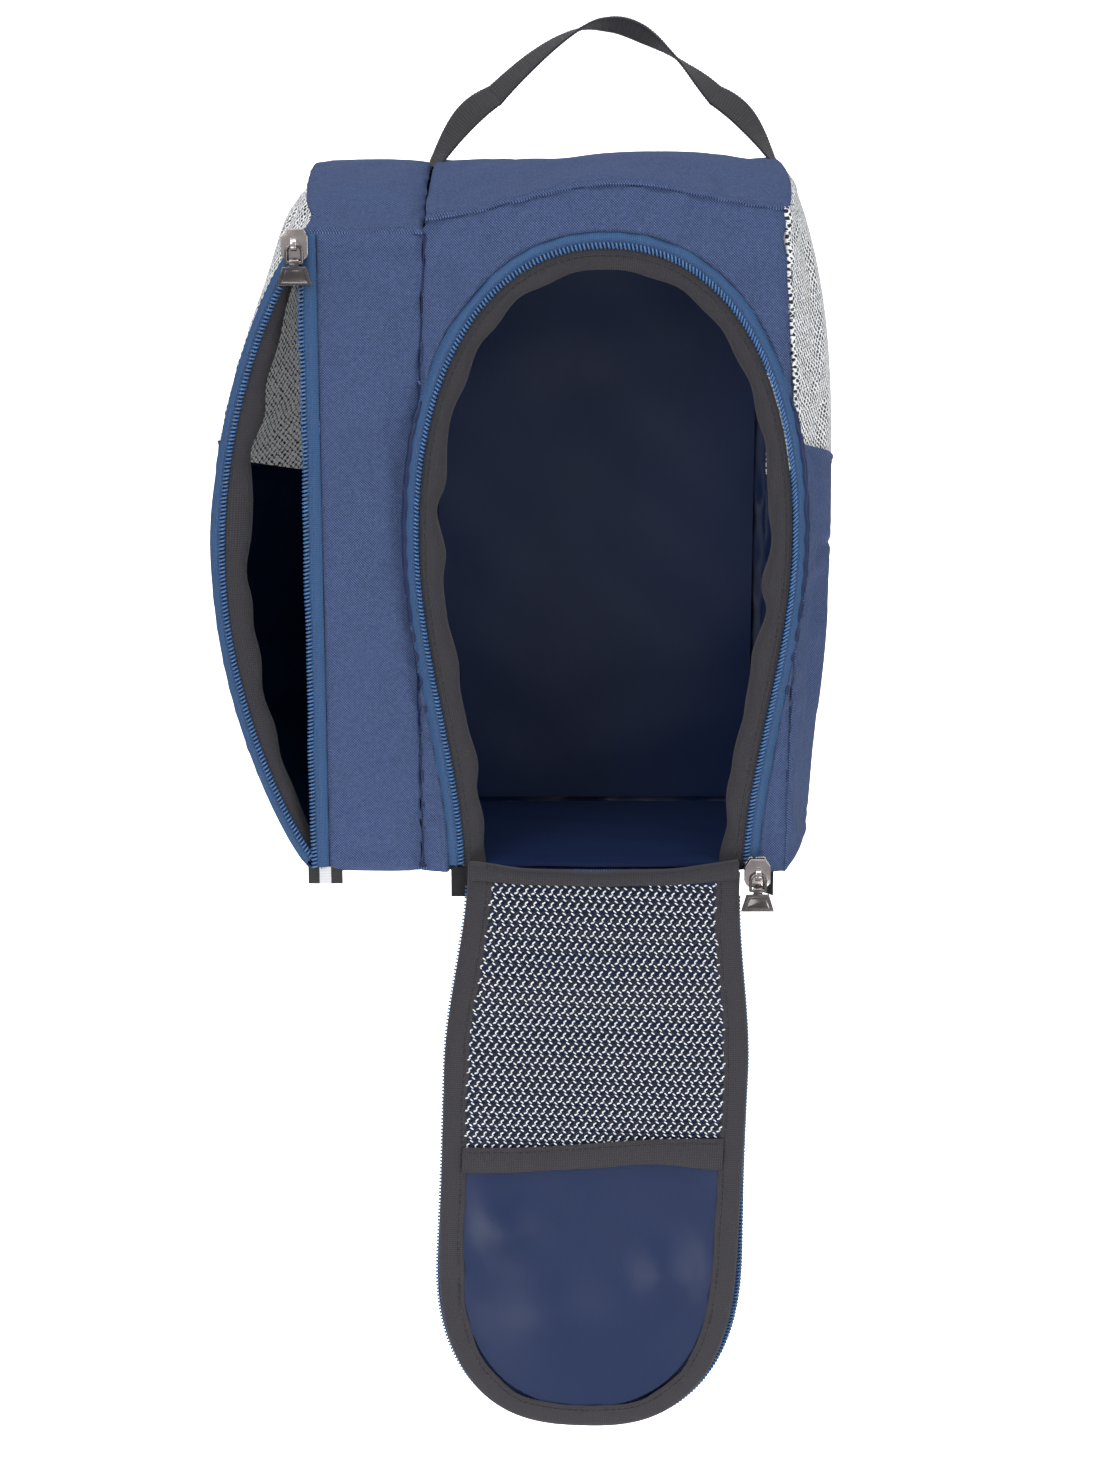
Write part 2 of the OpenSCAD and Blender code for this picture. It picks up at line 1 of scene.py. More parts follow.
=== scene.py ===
"""Golf shoe bag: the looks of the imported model, made of sewn panels, ribbons, zips and pulls.
Shapes are worked out in millimetres in the row frame and become metres when a mesh is made."""
import math
import bmesh
import bpy
import numpy as np
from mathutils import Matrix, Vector


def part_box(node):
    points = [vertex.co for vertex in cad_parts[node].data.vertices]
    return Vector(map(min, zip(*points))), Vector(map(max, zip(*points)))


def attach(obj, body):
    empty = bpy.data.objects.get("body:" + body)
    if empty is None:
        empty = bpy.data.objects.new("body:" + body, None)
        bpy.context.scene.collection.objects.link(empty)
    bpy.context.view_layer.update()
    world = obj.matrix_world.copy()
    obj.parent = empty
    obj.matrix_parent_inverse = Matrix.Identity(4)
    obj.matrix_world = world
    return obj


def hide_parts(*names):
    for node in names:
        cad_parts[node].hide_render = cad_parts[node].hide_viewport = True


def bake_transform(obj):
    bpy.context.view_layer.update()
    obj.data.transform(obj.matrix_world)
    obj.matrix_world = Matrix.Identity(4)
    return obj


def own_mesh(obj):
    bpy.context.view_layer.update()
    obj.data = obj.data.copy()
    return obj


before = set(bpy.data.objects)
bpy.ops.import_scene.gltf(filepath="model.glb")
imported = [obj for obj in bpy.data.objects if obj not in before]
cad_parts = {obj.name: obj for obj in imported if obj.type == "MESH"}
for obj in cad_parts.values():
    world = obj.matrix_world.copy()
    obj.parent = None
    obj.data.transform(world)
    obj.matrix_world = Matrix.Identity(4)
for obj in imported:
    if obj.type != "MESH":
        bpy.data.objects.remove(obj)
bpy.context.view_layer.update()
MM = 0.001
PI = math.pi

# ---- driving sizes in millimetres; most are the CAD part's own ----
FRONT_Y, BACK_Y = -65.0, 65.0
CORNER_X = 115.0
SEAM_X, SEAM_TOP_X = -62.0, -57.5
CORNER_TOP_X, LEFT_TOP_X = 108.0, -106.0
POCKET_TOP_Z, BACK_TOP_Z = 304.0, 334.0
LEFT_FRONT_TOP, RIGHT_FRONT_TOP, ARCH_RISE = 310.0, 316.0, 13.0
TOP_DOME = 3.0
SIDE_BULGE = 25.5
WALL = 1.6
ROUND_UNDER = 6.0
MESH_FRONT_Z, MESH_BACK_Z = 208.0, 178.0
LIP_TOP_Z, LIP_BOW, LIP_PROUD = 300.0, 47.0, 7.0
TAIL_Z = 268.0
POCKET_COIL_X, POCKET_COIL_Y = -114.2, -66.6
POCKET_EDGE_X = -107.6
DOOR_CX, MOUTH_HALF, WAIST_HALF, WAIST_Z, CROWN_H, CROWN_P = 26.0, 69.0, 88.5, 162.0, 136.0, 2.2
COIL_R, TAPE_W, FACING_W = 1.2, 5.2, 13.0
COIL_PITCH = 1.86
DOOR_LEN, DOOR_HALF, DOOR_TIP, DOOR_TAPER, BINDING_W = 291.0, 74.5, 100.0, 100.0, 12.0
DOOR_LEAN = math.radians(2)
LINING_TOP = -1.0
HINGE_Y, HINGE_Z = -70.4, -1.0
HANDLE_Y, HANDLE_Z, HANDLE_RISE, HANDLE_PIVOT_Z, WEBBING_W = 15.0, 333.0, 67.0, 345.0, 20.0
HANDLE_X0, HANDLE_X1 = SEAM_TOP_X + 0.5, CORNER_TOP_X + 2.5
WEBBING_RIB = 1.45


RIGHT, BACK, UP = np.eye(3)
LEFT, FRONT, DOWN = -np.eye(3)
ALL_SIDES = ["u0", "u1", "v0", "v1"]


# ---- small maths helpers ----
def lerp(a, b, t):
    return a + (b - a) * t


def clamp01(t):
    return np.clip(t, 0.0, 1.0)


def ease(t):
    s = clamp01(t)
    return s * s * (3 - 2 * s)


def hump(t):
    return np.sin(PI * clamp01(t))


def bell(x, width):
    return np.exp(-(x / width) ** 2)


def unit(v):
    return v / np.maximum(np.linalg.norm(v, axis=-1, keepdims=True), 1e-9)


def spread(*parts):
    """Points or cloth places, from arrays that stretch to one another's shape."""
    return np.stack(np.broadcast_arrays(*parts), -1)


def shares(rows, cols):
    """How far each place of a grid is along its rows and its columns, from 0 to 1."""
    return np.meshgrid(np.linspace(0, 1, rows), np.linspace(0, 1, cols), indexing="ij")


def ripple(s, wavelength, seed, waves=5):
    """Uneven wave along s, roughly from -1 to 1."""
    rng = np.random.default_rng(seed)
    total = np.zeros_like(np.asarray(s, float))
    for _ in range(waves):
        total += np.sin(2 * PI * s / (wavelength * rng.uniform(0.6, 1.7)) + rng.uniform(0, 2 * PI))
    return total / waves ** 0.5 / 1.2


def crumple(points, wavelength, seed, waves=7):
    """Uneven waves in every direction over an array of points."""
    rng = np.random.default_rng(seed)
    total = np.zeros(points.shape[:-1])
    for _ in range(waves):
        direction = unit(rng.normal(size=3)) * 2 * PI / (wavelength * rng.uniform(0.7, 1.6))
        total += np.sin(points @ direction + rng.uniform(0, 2 * PI))
    return total / waves ** 0.5


def cubic(values, at):
    """Catmull-Rom values along the first axis at fractional places."""
    last = len(values) - 1
    ends = (2 * values[:1] - values[1:2], 2 * values[-1:] - values[-2:-1])
    padded = np.concatenate([ends[0], values, ends[1]])
    i = np.clip(np.floor(at).astype(int), 0, last - 1)
    f = (at - i).reshape((-1,) + (1,) * (values.ndim - 1))
    a, b, c, d = (padded[i + k] for k in range(4))
    return 0.5 * (2 * b + (c - a) * f + (2 * a - 5 * b + 4 * c - d) * f ** 2 + (3 * b - a - 3 * c + d) * f ** 3)


def edge_places(count, cells, bias=0.75):
    """Places from 0 to cells that crowd together at both ends."""
    s = np.linspace(0, 1, count)
    return cells * lerp(s, (1 - np.cos(PI * s)) / 2, bias)


def resample(grid, rows, cols, bias=0.75):
    a = cubic(grid, edge_places(rows, len(grid) - 1, bias))
    return cubic(a.swapaxes(0, 1), edge_places(cols, grid.shape[1] - 1, bias)).swapaxes(0, 1)


def normals_of(grid):
    return unit(np.cross(np.gradient(grid, axis=0), np.gradient(grid, axis=1)))


def facing(grid, hint):
    """Normals of a grid, turned to the side that hint points to."""
    n = normals_of(grid)
    return n if (n @ hint).mean() > 0 else -n


def lengths(line):
    return np.concatenate([[0], np.cumsum(np.linalg.norm(np.diff(line, axis=0), axis=1))])


def along(line, spacing):
    """The line again, with points at an even spacing."""
    s = lengths(line)
    count = max(2, int(round(s[-1] / spacing)) + 1)
    at = np.linspace(0, s[-1], count)
    return np.stack([np.interp(at, s, line[:, k]) for k in range(line.shape[1])], axis=1)


# ---- outer surface of the bag: the CAD part's, with a softer left wall and a sagging top corner ----
def divide_x(z):
    return lerp(SEAM_X, SEAM_TOP_X, clamp01(z / 310) ** 3) - 2 * hump(z / 310)


def right_x(z):
    return lerp(CORNER_X, CORNER_TOP_X, clamp01(z / 316) ** 3) + 2 * hump(z / 316)


def left_x(z):
    return -lerp(CORNER_X, -LEFT_TOP_X, clamp01(z / 304) ** 3)


def back_right_x(z):
    return lerp(CORNER_X - 1, CORNER_TOP_X + 4, clamp01(z / 334) ** 3)


def back_left_x(z):
    return -back_right_x(z) - 7 * ease((z - 200) / 130)


def swell(z):
    low = lerp(0.63, 1, ease(z / 150)) * SIDE_BULGE
    high = SIDE_BULGE * (1 - clamp01((z - 190) / 150) ** 3)
    return np.where(z < 190, low, high)


def main_u(x):
    return clamp01((x - SEAM_TOP_X) / (CORNER_TOP_X - SEAM_TOP_X))


def front_top(x):
    main = lerp(LEFT_FRONT_TOP, RIGHT_FRONT_TOP, main_u(x)) + ARCH_RISE * hump(main_u(x)) ** 1.6
    return np.where(x < SEAM_TOP_X - 0.01, POCKET_TOP_Z, main)


def top_z(x, t):
    return lerp(front_top(x), BACK_TOP_Z, 1 - (1 - t) ** 2.2) + TOP_DOME * hump(t)


def lip_bulge(z):
    return hump(z / (LIP_TOP_Z + 10)) ** lerp(0.75, 0.63, ease((z - 90) / 120))


def wall_bulge(z):
    """Bow of the wall behind the lip: the lip's own, tailing off slowly towards the top."""
    return np.where(z < TAIL_Z, lip_bulge(z), lip_bulge(TAIL_Z) * np.exp((TAIL_Z - z) / 58))


def lip_x(z):
    return left_x(z) - LIP_BOW * lip_bulge(z)


def lip_y(z):
    return FRONT_Y + 1 + 9 * lip_bulge(z)


def right_wall(t, z):
    x = lerp(right_x(z), back_right_x(z), t) + 0.87 * swell(z) * hump(t) ** 0.8
    return spread(x, lerp(FRONT_Y, BACK_Y - 0.5, t), z)


def left_wall(t, z):
    base_fade = ease(z / 60)
    shoulder = lerp(0.48, 1, ease((top_z(LEFT_TOP_X, t) - z) / 24))
    bulge = lerp(lip_bulge(z), shoulder * wall_bulge(z), ease(t / 0.25))
    held = lerp(1, 0.55, ease((z - 150) / 110)) * base_fade * shoulder
    x = lerp(left_x(z) - LIP_BOW * bulge, back_left_x(z), t) - swell(z) * held * hump(t) ** 1.5
    return spread(x, lerp(lip_y(z), BACK_Y - 0.5, t), z)


def mesh_z(t):
    return lerp(MESH_FRONT_Z, MESH_BACK_Z, t)


def opening_half(z):
    leg = lerp(MOUTH_HALF, WAIST_HALF, ease(z / WAIST_Z))
    crown = WAIST_HALF * np.maximum(0, 1 - (clamp01((z - WAIST_Z) / CROWN_H)) ** CROWN_P) ** (1 / CROWN_P)
    return np.where(z < WAIST_Z, leg, crown)


def opening_path(grow, z0=0.5, count=97):
    """Outline of the main opening, from its lower left end round to the lower right one."""
    legs, crown = count // 4, count - 2 * (count // 4)
    z = lerp(z0, WAIST_Z, np.arange(legs) / legs)
    left = np.stack([DOOR_CX - opening_half(z) - grow, z], -1)
    a = np.linspace(0, PI, crown)
    power = 2 / CROWN_P
    arc = np.stack([DOOR_CX - (WAIST_HALF + grow) * np.sign(np.cos(a)) * np.abs(np.cos(a)) ** power,
                    WAIST_Z + (CROWN_H + grow) * np.sin(a) ** power], -1)
    right = np.stack([DOOR_CX + opening_half(z) + grow, z], -1)[::-1]
    path = np.concatenate([left, arc, right])
    return along(path, lengths(path)[-1] / (count - 1))


def lip_out(z):
    return hump(z / (WAIST_Z + CROWN_H + 4))


def handle_point(t):
    x = lerp(HANDLE_X0, HANDLE_X1, t)
    blunt = 0.1
    arm = (np.hypot(2 * t - 1, blunt) - blunt) / (math.hypot(1, blunt) - blunt)
    foot = 4.5 * hump((1 - np.abs(2 * t - 1)) / 0.36)
    z = HANDLE_Z + HANDLE_RISE * (1 - arm ** 1.4) + foot
    return spread(x, HANDLE_Y, z)


def door_w_at(s):
    taper = lerp(MOUTH_HALF - 3.5, DOOR_HALF, ease(s / DOOR_TAPER))
    tip = DOOR_HALF * np.maximum(0, 1 - clamp01((s - DOOR_LEN + DOOR_TIP) / DOOR_TIP) ** 2.6) ** (1 / 2.6)
    return np.where(s < DOOR_LEN - DOOR_TIP, taper, tip)


def on_door(x, y, s):
    """Points in the row frame from places across, out of and down the hanging door."""
    c, d = math.cos(DOOR_LEAN), math.sin(DOOR_LEAN)
    return spread(DOOR_CX + x * c - s * d, HINGE_Y + y, HINGE_Z - x * d - s * c)


# ---- materials ----
class Nodes:
    """Short names for building one node material."""

    def __init__(self, name, roughness, metallic=0.0, specular=0.5, sheen=0.0, sheen_tint=(1, 1, 1)):
        self.mat = bpy.data.materials.new(name)
        self.mat.use_nodes = True
        self.tree = self.mat.node_tree
        self.shader = self.tree.nodes["Principled BSDF"]
        self.shader.inputs["Roughness"].default_value = roughness
        self.shader.inputs["Metallic"].default_value = metallic
        self.shader.inputs["Specular IOR Level"].default_value = specular
        self.shader.inputs["Sheen Weight"].default_value = sheen
        self.shader.inputs["Sheen Tint"].default_value = (*sheen_tint, 1)

    def node(self, kind, **sockets):
        n = self.tree.nodes.new(kind)
        for key, value in sockets.items():
            self.put(n.inputs[key], value)
        return n

    def put(self, socket, value):
        if isinstance(value, bpy.types.NodeSocket):
            self.tree.links.new(value, socket)
        else:
            socket.default_value = value

    def math(self, operation, a, b=0.0):
        n = self.tree.nodes.new("ShaderNodeMath")
        n.operation = operation
        self.put(n.inputs[0], a)
        self.put(n.inputs[1], b)
        return n.outputs[0]

    def add(self, a, b):
        return self.math("ADD", a, b)

    def times(self, a, b):
        return self.math("MULTIPLY", a, b)

    def threads(self, value):
        """Rounded bumps, one for each thread."""
        return self.math("ABSOLUTE", self.math("SINE", self.times(value, PI)))

    def cloth_uv(self, pitch_u, pitch_v, turn=0.0):
        """Cloth coordinates counted in threads, as u and v."""
        uv = self.tree.nodes.new("ShaderNodeUVMap")
        uv.uv_map = "cloth"
        n = self.node("ShaderNodeMapping", Vector=uv.outputs[0])
        n.inputs["Scale"].default_value = (1 / pitch_u, 1 / pitch_v, 1)
        n.inputs["Rotation"].default_value = (0, 0, turn)
        split = self.node("ShaderNodeSeparateXYZ", Vector=n.outputs[0])
        return n.outputs[0], split.outputs[0], split.outputs[1]

    def noise(self, scale, detail=2.0, vector=None):
        n = self.node("ShaderNodeTexNoise", Scale=scale, Detail=detail)
        if vector is None:
            vector = self.node("ShaderNodeTexCoord").outputs["Object"]
        self.put(n.inputs["Vector"], vector)
        return n.outputs["Fac"]

    def wave(self, value):
        """Sine of a number of turns, from 0 to 1."""
        return self.add(self.times(self.math("SINE", self.times(value, 2 * PI)), 0.5), 0.5)

    def ramp(self, value, stops):
        n = self.node("ShaderNodeValToRGB", Fac=value)
        while len(n.color_ramp.elements) < len(stops):
            n.color_ramp.elements.new(0.5)
        for element, (place, colour) in zip(n.color_ramp.elements, stops):
            element.position = place
            element.color = (*colour, 1)
        return n.outputs[0]

    def mix(self, factor, a, b):
        n = self.tree.nodes.new("ShaderNodeMix")
        n.data_type = "RGBA"
        self.put(n.inputs[0], factor)
        self.put(n.inputs[6], (*a, 1) if isinstance(a, tuple) else a)
        self.put(n.inputs[7], (*b, 1) if isinstance(b, tuple) else b)
        return n.outputs[2]

    def finish(self, colour, height=None, distance=0.0002, strength=0.6, roughness=None):
        self.put(self.shader.inputs["Base Color"], colour)
        if roughness is not None:
            self.put(self.shader.inputs["Roughness"], roughness)
        if height is not None:
            bump = self.node("ShaderNodeBump", Height=height, Strength=strength, Distance=distance)
            self.put(self.shader.inputs["Normal"], bump.outputs[0])
        return self.mat


def scaled(colour, k):
    return tuple(min(1.0, c * k) for c in colour)


def fabric(name, colour, pitch, roughness=0.85, contrast=0.92):
    """Close basket weave whose floats run on one diagonal."""
    n = Nodes(name, roughness, specular=0.12, sheen_tint=(0.55, 0.65, 0.9))
    _, u, v = n.cloth_uv(pitch, pitch)
    weft = n.threads(n.math("SUBTRACT", u, v))
    cell = n.times(n.threads(n.add(u, v)), n.math("POWER", weft, 0.4))
    uneven = n.add(n.times(n.noise(620, 2), 0.32), n.times(n.noise(1100, 2), 0.2))
    tone = n.add(n.times(cell, 0.72), n.math("SUBTRACT", uneven, 0.08))
    stops = [(0.12, scaled(colour, 1 - contrast)), (0.58, colour), (0.95, scaled(colour, 1 + 1.3 * contrast))]
    cloth = n.ramp(tone, stops)
    return n.finish(n.mix(n.times(n.noise(14, 3), 0.3), cloth, scaled(colour, 0.75)), cell, 0.0003, 0.75)


def coated_lining():
    """Coated twill: a fine diagonal under a glossy film."""
    base = (0.009, 0.019, 0.062)
    n = Nodes("lining_satin", 0.33, specular=0.3)
    _, u, v = n.cloth_uv(0.0009, 0.0009)
    height = n.add(n.times(n.wave(n.add(u, v)), 0.7), n.times(n.wave(n.times(v, 2.0)), 0.3))
    colour = n.ramp(height, [(0.1, scaled(base, 0.75)), (0.9, scaled(base, 1.25))])
    rough = n.add(n.times(n.noise(22, 4), 0.08), 0.285)
    return n.finish(colour, height, 0.00008, 0.5, rough)


def ribbon(name, colour, rib, roughness=0.85, sheen=0.12, depth=0.00012):
    """Woven ribbon with ribs across it and a fuzzy face."""
    n = Nodes(name, roughness, specular=0.2, sheen=sheen, sheen_tint=(0.8, 0.8, 0.85))
    _, u, v = n.cloth_uv(rib, rib)
    weave = n.times(n.wave(u), n.wave(n.times(v, 1.3)))
    height = n.add(n.times(weave, 0.5), n.times(n.noise(1500, 3), 0.7))
    cloth = n.ramp(height, [(0.2, scaled(colour, 0.55)), (0.55, colour), (0.9, scaled(colour, 1.7))])
    return n.finish(n.mix(n.times(n.noise(30, 2), 0.4), cloth, scaled(colour, 0.7)), height, depth, 0.7)


def striped_ribbon():
    """Grosgrain in three equal bands across its width, dark, pale, dark."""
    n = Nodes("tab_stripe", 0.7, specular=0.25, sheen=0.3)
    _, u, v = n.cloth_uv(1.0, 1.0)
    x = n.math("DIVIDE", n.add(u, 0.109), 0.0165)
    middle = n.math("LESS_THAN", n.math("ABSOLUTE", x), 0.17)
    ribs = n.wave(n.math("DIVIDE", v, 0.0008))
    cloth = n.mix(middle, (0.018, 0.018, 0.020), (0.62, 0.63, 0.65))
    return n.finish(n.mix(n.times(ribs, 0.3), cloth, (0.03, 0.03, 0.03)), ribs, 0.0001, 0.6)


def vent_mesh(name, inside=False):
    """Two-tone spacer mesh: pale threads round small dark holes in uneven diagonal rows; the inner face has painted
    light: a paler ramp and a faint glow.
    """
    n = Nodes(name, 0.8, specular=0.25, sheen=0.2)
    vector, u, v = n.cloth_uv(0.0019, 0.0023, math.radians(38))
    wobble = n.math("SUBTRACT", n.noise(2.2, 2, vector), 0.5)
    holes = n.times(n.threads(n.add(u, wobble)), n.threads(n.add(v, wobble)))
    broken = n.times(n.math("SUBTRACT", n.noise(0.9, 1, vector), 0.5), 0.8)
    tone = n.add(n.math("SUBTRACT", 1.0, holes), broken)
    stops = [(0.48, (0.008, 0.008, 0.011)), (0.59, (0.26, 0.27, 0.29)), (0.69, (0.78, 0.79, 0.81))]
    # inner face: a paler ramp with few dark holes, painted light for the daylight that shines through the mesh
    if inside:
        stops = [(0.2, (0.80, 0.81, 0.83)), (0.72, (0.86, 0.86, 0.87)), (0.86, (0.02, 0.02, 0.025))]
    colour = n.ramp(tone, stops)
    if inside:
        # painted glow: emission standing in for daylight soaking through from outside
        n.put(n.shader.inputs["Emission Color"], colour)
        n.shader.inputs["Emission Strength"].default_value = 0.16
    return n.finish(colour, tone, 0.0004, 0.8)


def nylon(name, colour):
    n = Nodes(name, 0.3, specular=0.6)
    return n.finish(n.ramp(n.noise(420, 2), [(0.3, scaled(colour, 0.8)), (0.7, scaled(colour, 1.2))]))


def thread(name, colour):
    n = Nodes(name, 0.7, specular=0.25, sheen=0.2)
    twist = n.noise(2600, 1)
    return n.finish(n.ramp(twist, [(0.3, scaled(colour, 0.6)), (0.7, scaled(colour, 1.3))]), twist, 0.0001)


def gunmetal(name, colour, roughness):
    """Plated die-cast metal with faint casting ripples and an uneven tint."""
    n = Nodes(name, roughness, metallic=1.0)
    tint = n.ramp(n.noise(90, 3), [(0.3, scaled(colour, 0.75)), (0.7, scaled(colour, 1.15))])
    rough = n.add(n.times(n.noise(500, 2), 0.15), roughness - 0.07)
    return n.finish(tint, n.noise(180, 2), 0.00008, 0.25, rough)


navy = fabric("navy_weave", (0.050, 0.074, 0.158), 0.00125)
lining = coated_lining()
charcoal = ribbon("binding_fuzz", (0.034, 0.032, 0.037), 0.0011)
tape_blue = ribbon("zip_tape_blue", (0.030, 0.078, 0.180), 0.0009, roughness=0.6, sheen=0.05, depth=0.0001)
webbing_mat = ribbon("webbing_weave", (0.036, 0.034, 0.038), 0.0010, roughness=0.7, sheen=0.08, depth=0.00015)
black_ribbon = ribbon("tab_black", (0.016, 0.016, 0.018), 0.0009, roughness=0.65, sheen=0.05)
stripe = striped_ribbon()
mesh_out = vent_mesh("mesh_two_tone")
# inner face of the mesh, with painted light: paler colours and a faint glow
mesh_in = vent_mesh("mesh_inner_face_painted_light", inside=True)
coil_blue = nylon("coil_nylon", (0.040, 0.120, 0.290))
navy_thread = thread("thread_navy", (0.030, 0.050, 0.120))
black_thread = thread("thread_black", (0.012, 0.011, 0.012))
net_dark = thread("net_dark_strand", (0.008, 0.009, 0.014))
net_white = thread("net_white_strand", (0.66, 0.69, 0.73))
foam_mat = fabric("foam_grey", (0.30, 0.30, 0.30), 0.002, roughness=0.95, contrast=0.1)
pull_metal = gunmetal("pull_gunmetal", (0.17, 0.155, 0.155), 0.26)
slider_metal = gunmetal("slider_nickel", (0.58, 0.53, 0.51), 0.2)

# thread, stitch length, gap and thread radius
NAVY_STITCH = (navy_thread, 2.3, 0.9, 0.3)
ZIP_STITCH = (navy_thread, 1.5, 0.6, 0.22)


# ---- mesh helpers ----
def make(name, points, faces, mats, slots=None, uv=None, sharp=50.0):
    """Mesh object from points in millimetres; uv is one place per point in millimetres."""
    mesh = bpy.data.meshes.new(name)
    mesh.from_pydata((np.asarray(points) * MM).tolist(), [], faces if isinstance(faces, list) else faces.tolist())
    for m in mats:
        mesh.materials.append(m)
    if slots is not None:
        mesh.polygons.foreach_set("material_index", np.asarray(slots, np.int32))
    if uv is None:
        uv = np.asarray(points)[:, [0, 2]]
    corners = np.empty(len(mesh.loops), np.int32)
    mesh.loops.foreach_get("vertex_index", corners)
    layer = mesh.uv_layers.new(name="cloth")
    layer.data.foreach_set("uv", (np.asarray(uv)[corners] * MM).astype(np.float32).ravel())
    mesh.polygons.foreach_set("use_smooth", np.ones(len(mesh.polygons), bool))
    mesh.set_sharp_from_angle(angle=math.radians(sharp))
    mesh.update()
    obj = bpy.data.objects.new(name, mesh)
    bpy.context.scene.collection.objects.link(obj)
    return obj


def place(obj, body, slot, *nodes):
    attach(obj, body)
    if nodes:
        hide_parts(*nodes)
    return obj


def grid_faces(rows, cols):
    k = np.arange(rows * cols).reshape(rows, cols)
    return np.stack([k[:-1, :-1], k[1:, :-1], k[1:, 1:], k[:-1, 1:]], -1).reshape(-1, 4)


def panel(name, grid, thick, mats, hint, uv=None):
    """Closed sheet whose outer face is the grid, with its other face set back by thick."""
    rows, cols = grid.shape[:2]
    n = facing(grid, hint)
    turned = (normals_of(grid) * n).sum() < 0
    outer = grid.reshape(-1, 3)
    inner = (grid - n * thick).reshape(-1, 3)
    count = rows * cols
    k = np.arange(count).reshape(rows, cols)
    face = grid_faces(rows, cols)
    ring = np.concatenate([k[:-1, 0], k[-1, :-1], k[:0:-1, -1], k[0, :0:-1]])
    after = np.roll(ring, -1)
    rim = np.stack([after, ring, ring + count, after + count], -1)
    faces = np.concatenate([face, face[:, ::-1] + count, rim])
    if turned:
        faces = faces[:, ::-1]
    slots = np.concatenate([np.zeros(len(face)), np.full(len(face), len(mats) - 1), np.zeros(len(rim))])
    flat = outer[:, [0, 2]] if uv is None else np.asarray(uv).reshape(-1, 2)
    return make(name, np.concatenate([outer, inner]), faces, mats, slots, np.concatenate([flat, flat]))


def sweep(rings):
    """Points and faces of a closed skin through rings of points."""
    rows, cols = rings.shape[:2]
    k = np.arange(rows * cols).reshape(rows, cols)
    after = np.roll(k, -1, axis=1)
    faces = np.stack([k[:-1], after[:-1], after[1:], k[1:]], -1).reshape(-1, 4).tolist()
    return rings.reshape(-1, 3), faces + [k[0, ::-1].tolist(), k[-1].tolist()]


def tube(line, radius, sides, reference):
    """Skin of a round wire; reference is a direction roughly square to it at each point."""
    t = unit(np.gradient(line, axis=0))
    a = unit(reference - (reference * t).sum(-1, keepdims=True) * t)[:, None]
    b = np.cross(t, a[:, 0])[:, None]
    angle = (2 * PI * np.arange(sides) / sides)[:, None]
    return sweep(line[:, None] + radius * (np.cos(angle) * a + np.sin(angle) * b))


def zip_coil(node, body, line, across, wide=1.25, high=0.95):
    """Nylon coil: a wire wound along the line, with its cord inside."""
    both = along(np.concatenate([line, np.broadcast_to(across, line.shape)], axis=1), COIL_PITCH / 10)
    centre, side = both[:, :3], unit(both[:, 3:])
    up = unit(np.cross(unit(np.gradient(centre, axis=0)), side))
    turn = (2 * PI * lengths(centre) / COIL_PITCH)[:, None]
    radial = wide * np.cos(turn) * side + high * np.sin(turn) * up
    points, faces = tube(centre + radial, 0.5, 5, radial)
    core, core_faces = tube(centre[::10], 0.62, 6, side[::10])
    slots = np.repeat([0, 1], [len(faces), len(core_faces)])
    faces += [[i + len(points) for i in f] for f in core_faces]
    wire = make(node + "_wire", np.concatenate([points, core]), faces, [coil_blue, black_thread], slots, sharp=180)
    return place(wire, body, "zip_coil", node)


def scatter(name, template, faces, origins, frames, mat):
    """One mesh made of a small template shape repeated at many frames."""
    points = origins[:, None] + np.einsum("vk,nkj->nvj", template, frames)
    bases = range(0, len(origins) * len(template), len(template))
    all_faces = [[base + j for j in f] for base in bases for f in faces]
    return make(name, points.reshape(-1, 3), all_faces, [mat], sharp=180)


def spindle(length, radius, sides=5, flat=0.8):
    """Rounded rod along its first axis, from -length/2 to length/2."""
    angle = 2 * PI * np.arange(sides) / sides
    stations = np.array([(-0.5, 0.45), (-0.36, 0.95), (0.36, 0.95), (0.5, 0.45)])
    along_rod, wide = stations[:, :1] * length, stations[:, 1:] * radius
    return sweep(spread(along_rod, wide * np.cos(angle), flat * wide * np.sin(angle)))


def sew(name, body, slot, line, normals, mat, length, gap, radius):
    """Row of lock stitches lying on a surface along a line."""
    both = along(np.concatenate([line, np.broadcast_to(normals, line.shape)], axis=1), length + gap)
    centre, up = both[:, :3], unit(both[:, 3:])
    t = unit(np.gradient(centre, axis=0))
    up = unit(up - (up * t).sum(-1, keepdims=True) * t)
    frames = np.stack([t, np.cross(up, t), up], axis=1)
    return place(scatter(name, *spindle(length, radius), centre + up * 0.05, frames, mat), body, slot)


def walked(grid):
    """Distance of each grid point from the first row."""
    return np.concatenate([np.zeros((1, grid.shape[1])), np.cumsum(np.linalg.norm(np.diff(grid, axis=0), axis=2), 0)])


def seam(name, body, slot, grid, hint, side, inset, stitch=NAVY_STITCH):
    """Stitches on a grid at a distance in from one of its sides."""
    both = np.concatenate([grid, facing(grid, hint)], -1)
    if side in ("v0", "v1"):
        both = both.swapaxes(0, 1)
    if side in ("u1", "v1"):
        both = both[::-1]
    s = walked(both[..., :3])
    line = np.array([[np.interp(inset, s[:, j], both[:, j, k]) for k in range(6)] for j in range(both.shape[1])])
    return sew(name, body, slot, line[:, :3], line[:, 3:], *stitch)


def side_distance(grid, sides):
    """Distance of each grid point from the nearest of the named sides."""
    du, dv = walked(grid), walked(grid.swapaxes(0, 1)).T
    far = {"u0": du, "u1": du[-1:] - du, "v0": dv, "v1": dv[:, -1:] - dv}
    return np.min([far[s] for s in sides], axis=0)


def push(grid, direction, amount):
    """Moves each grid point along a direction by its own amount."""
    return grid + np.asarray(amount)[..., None] * direction


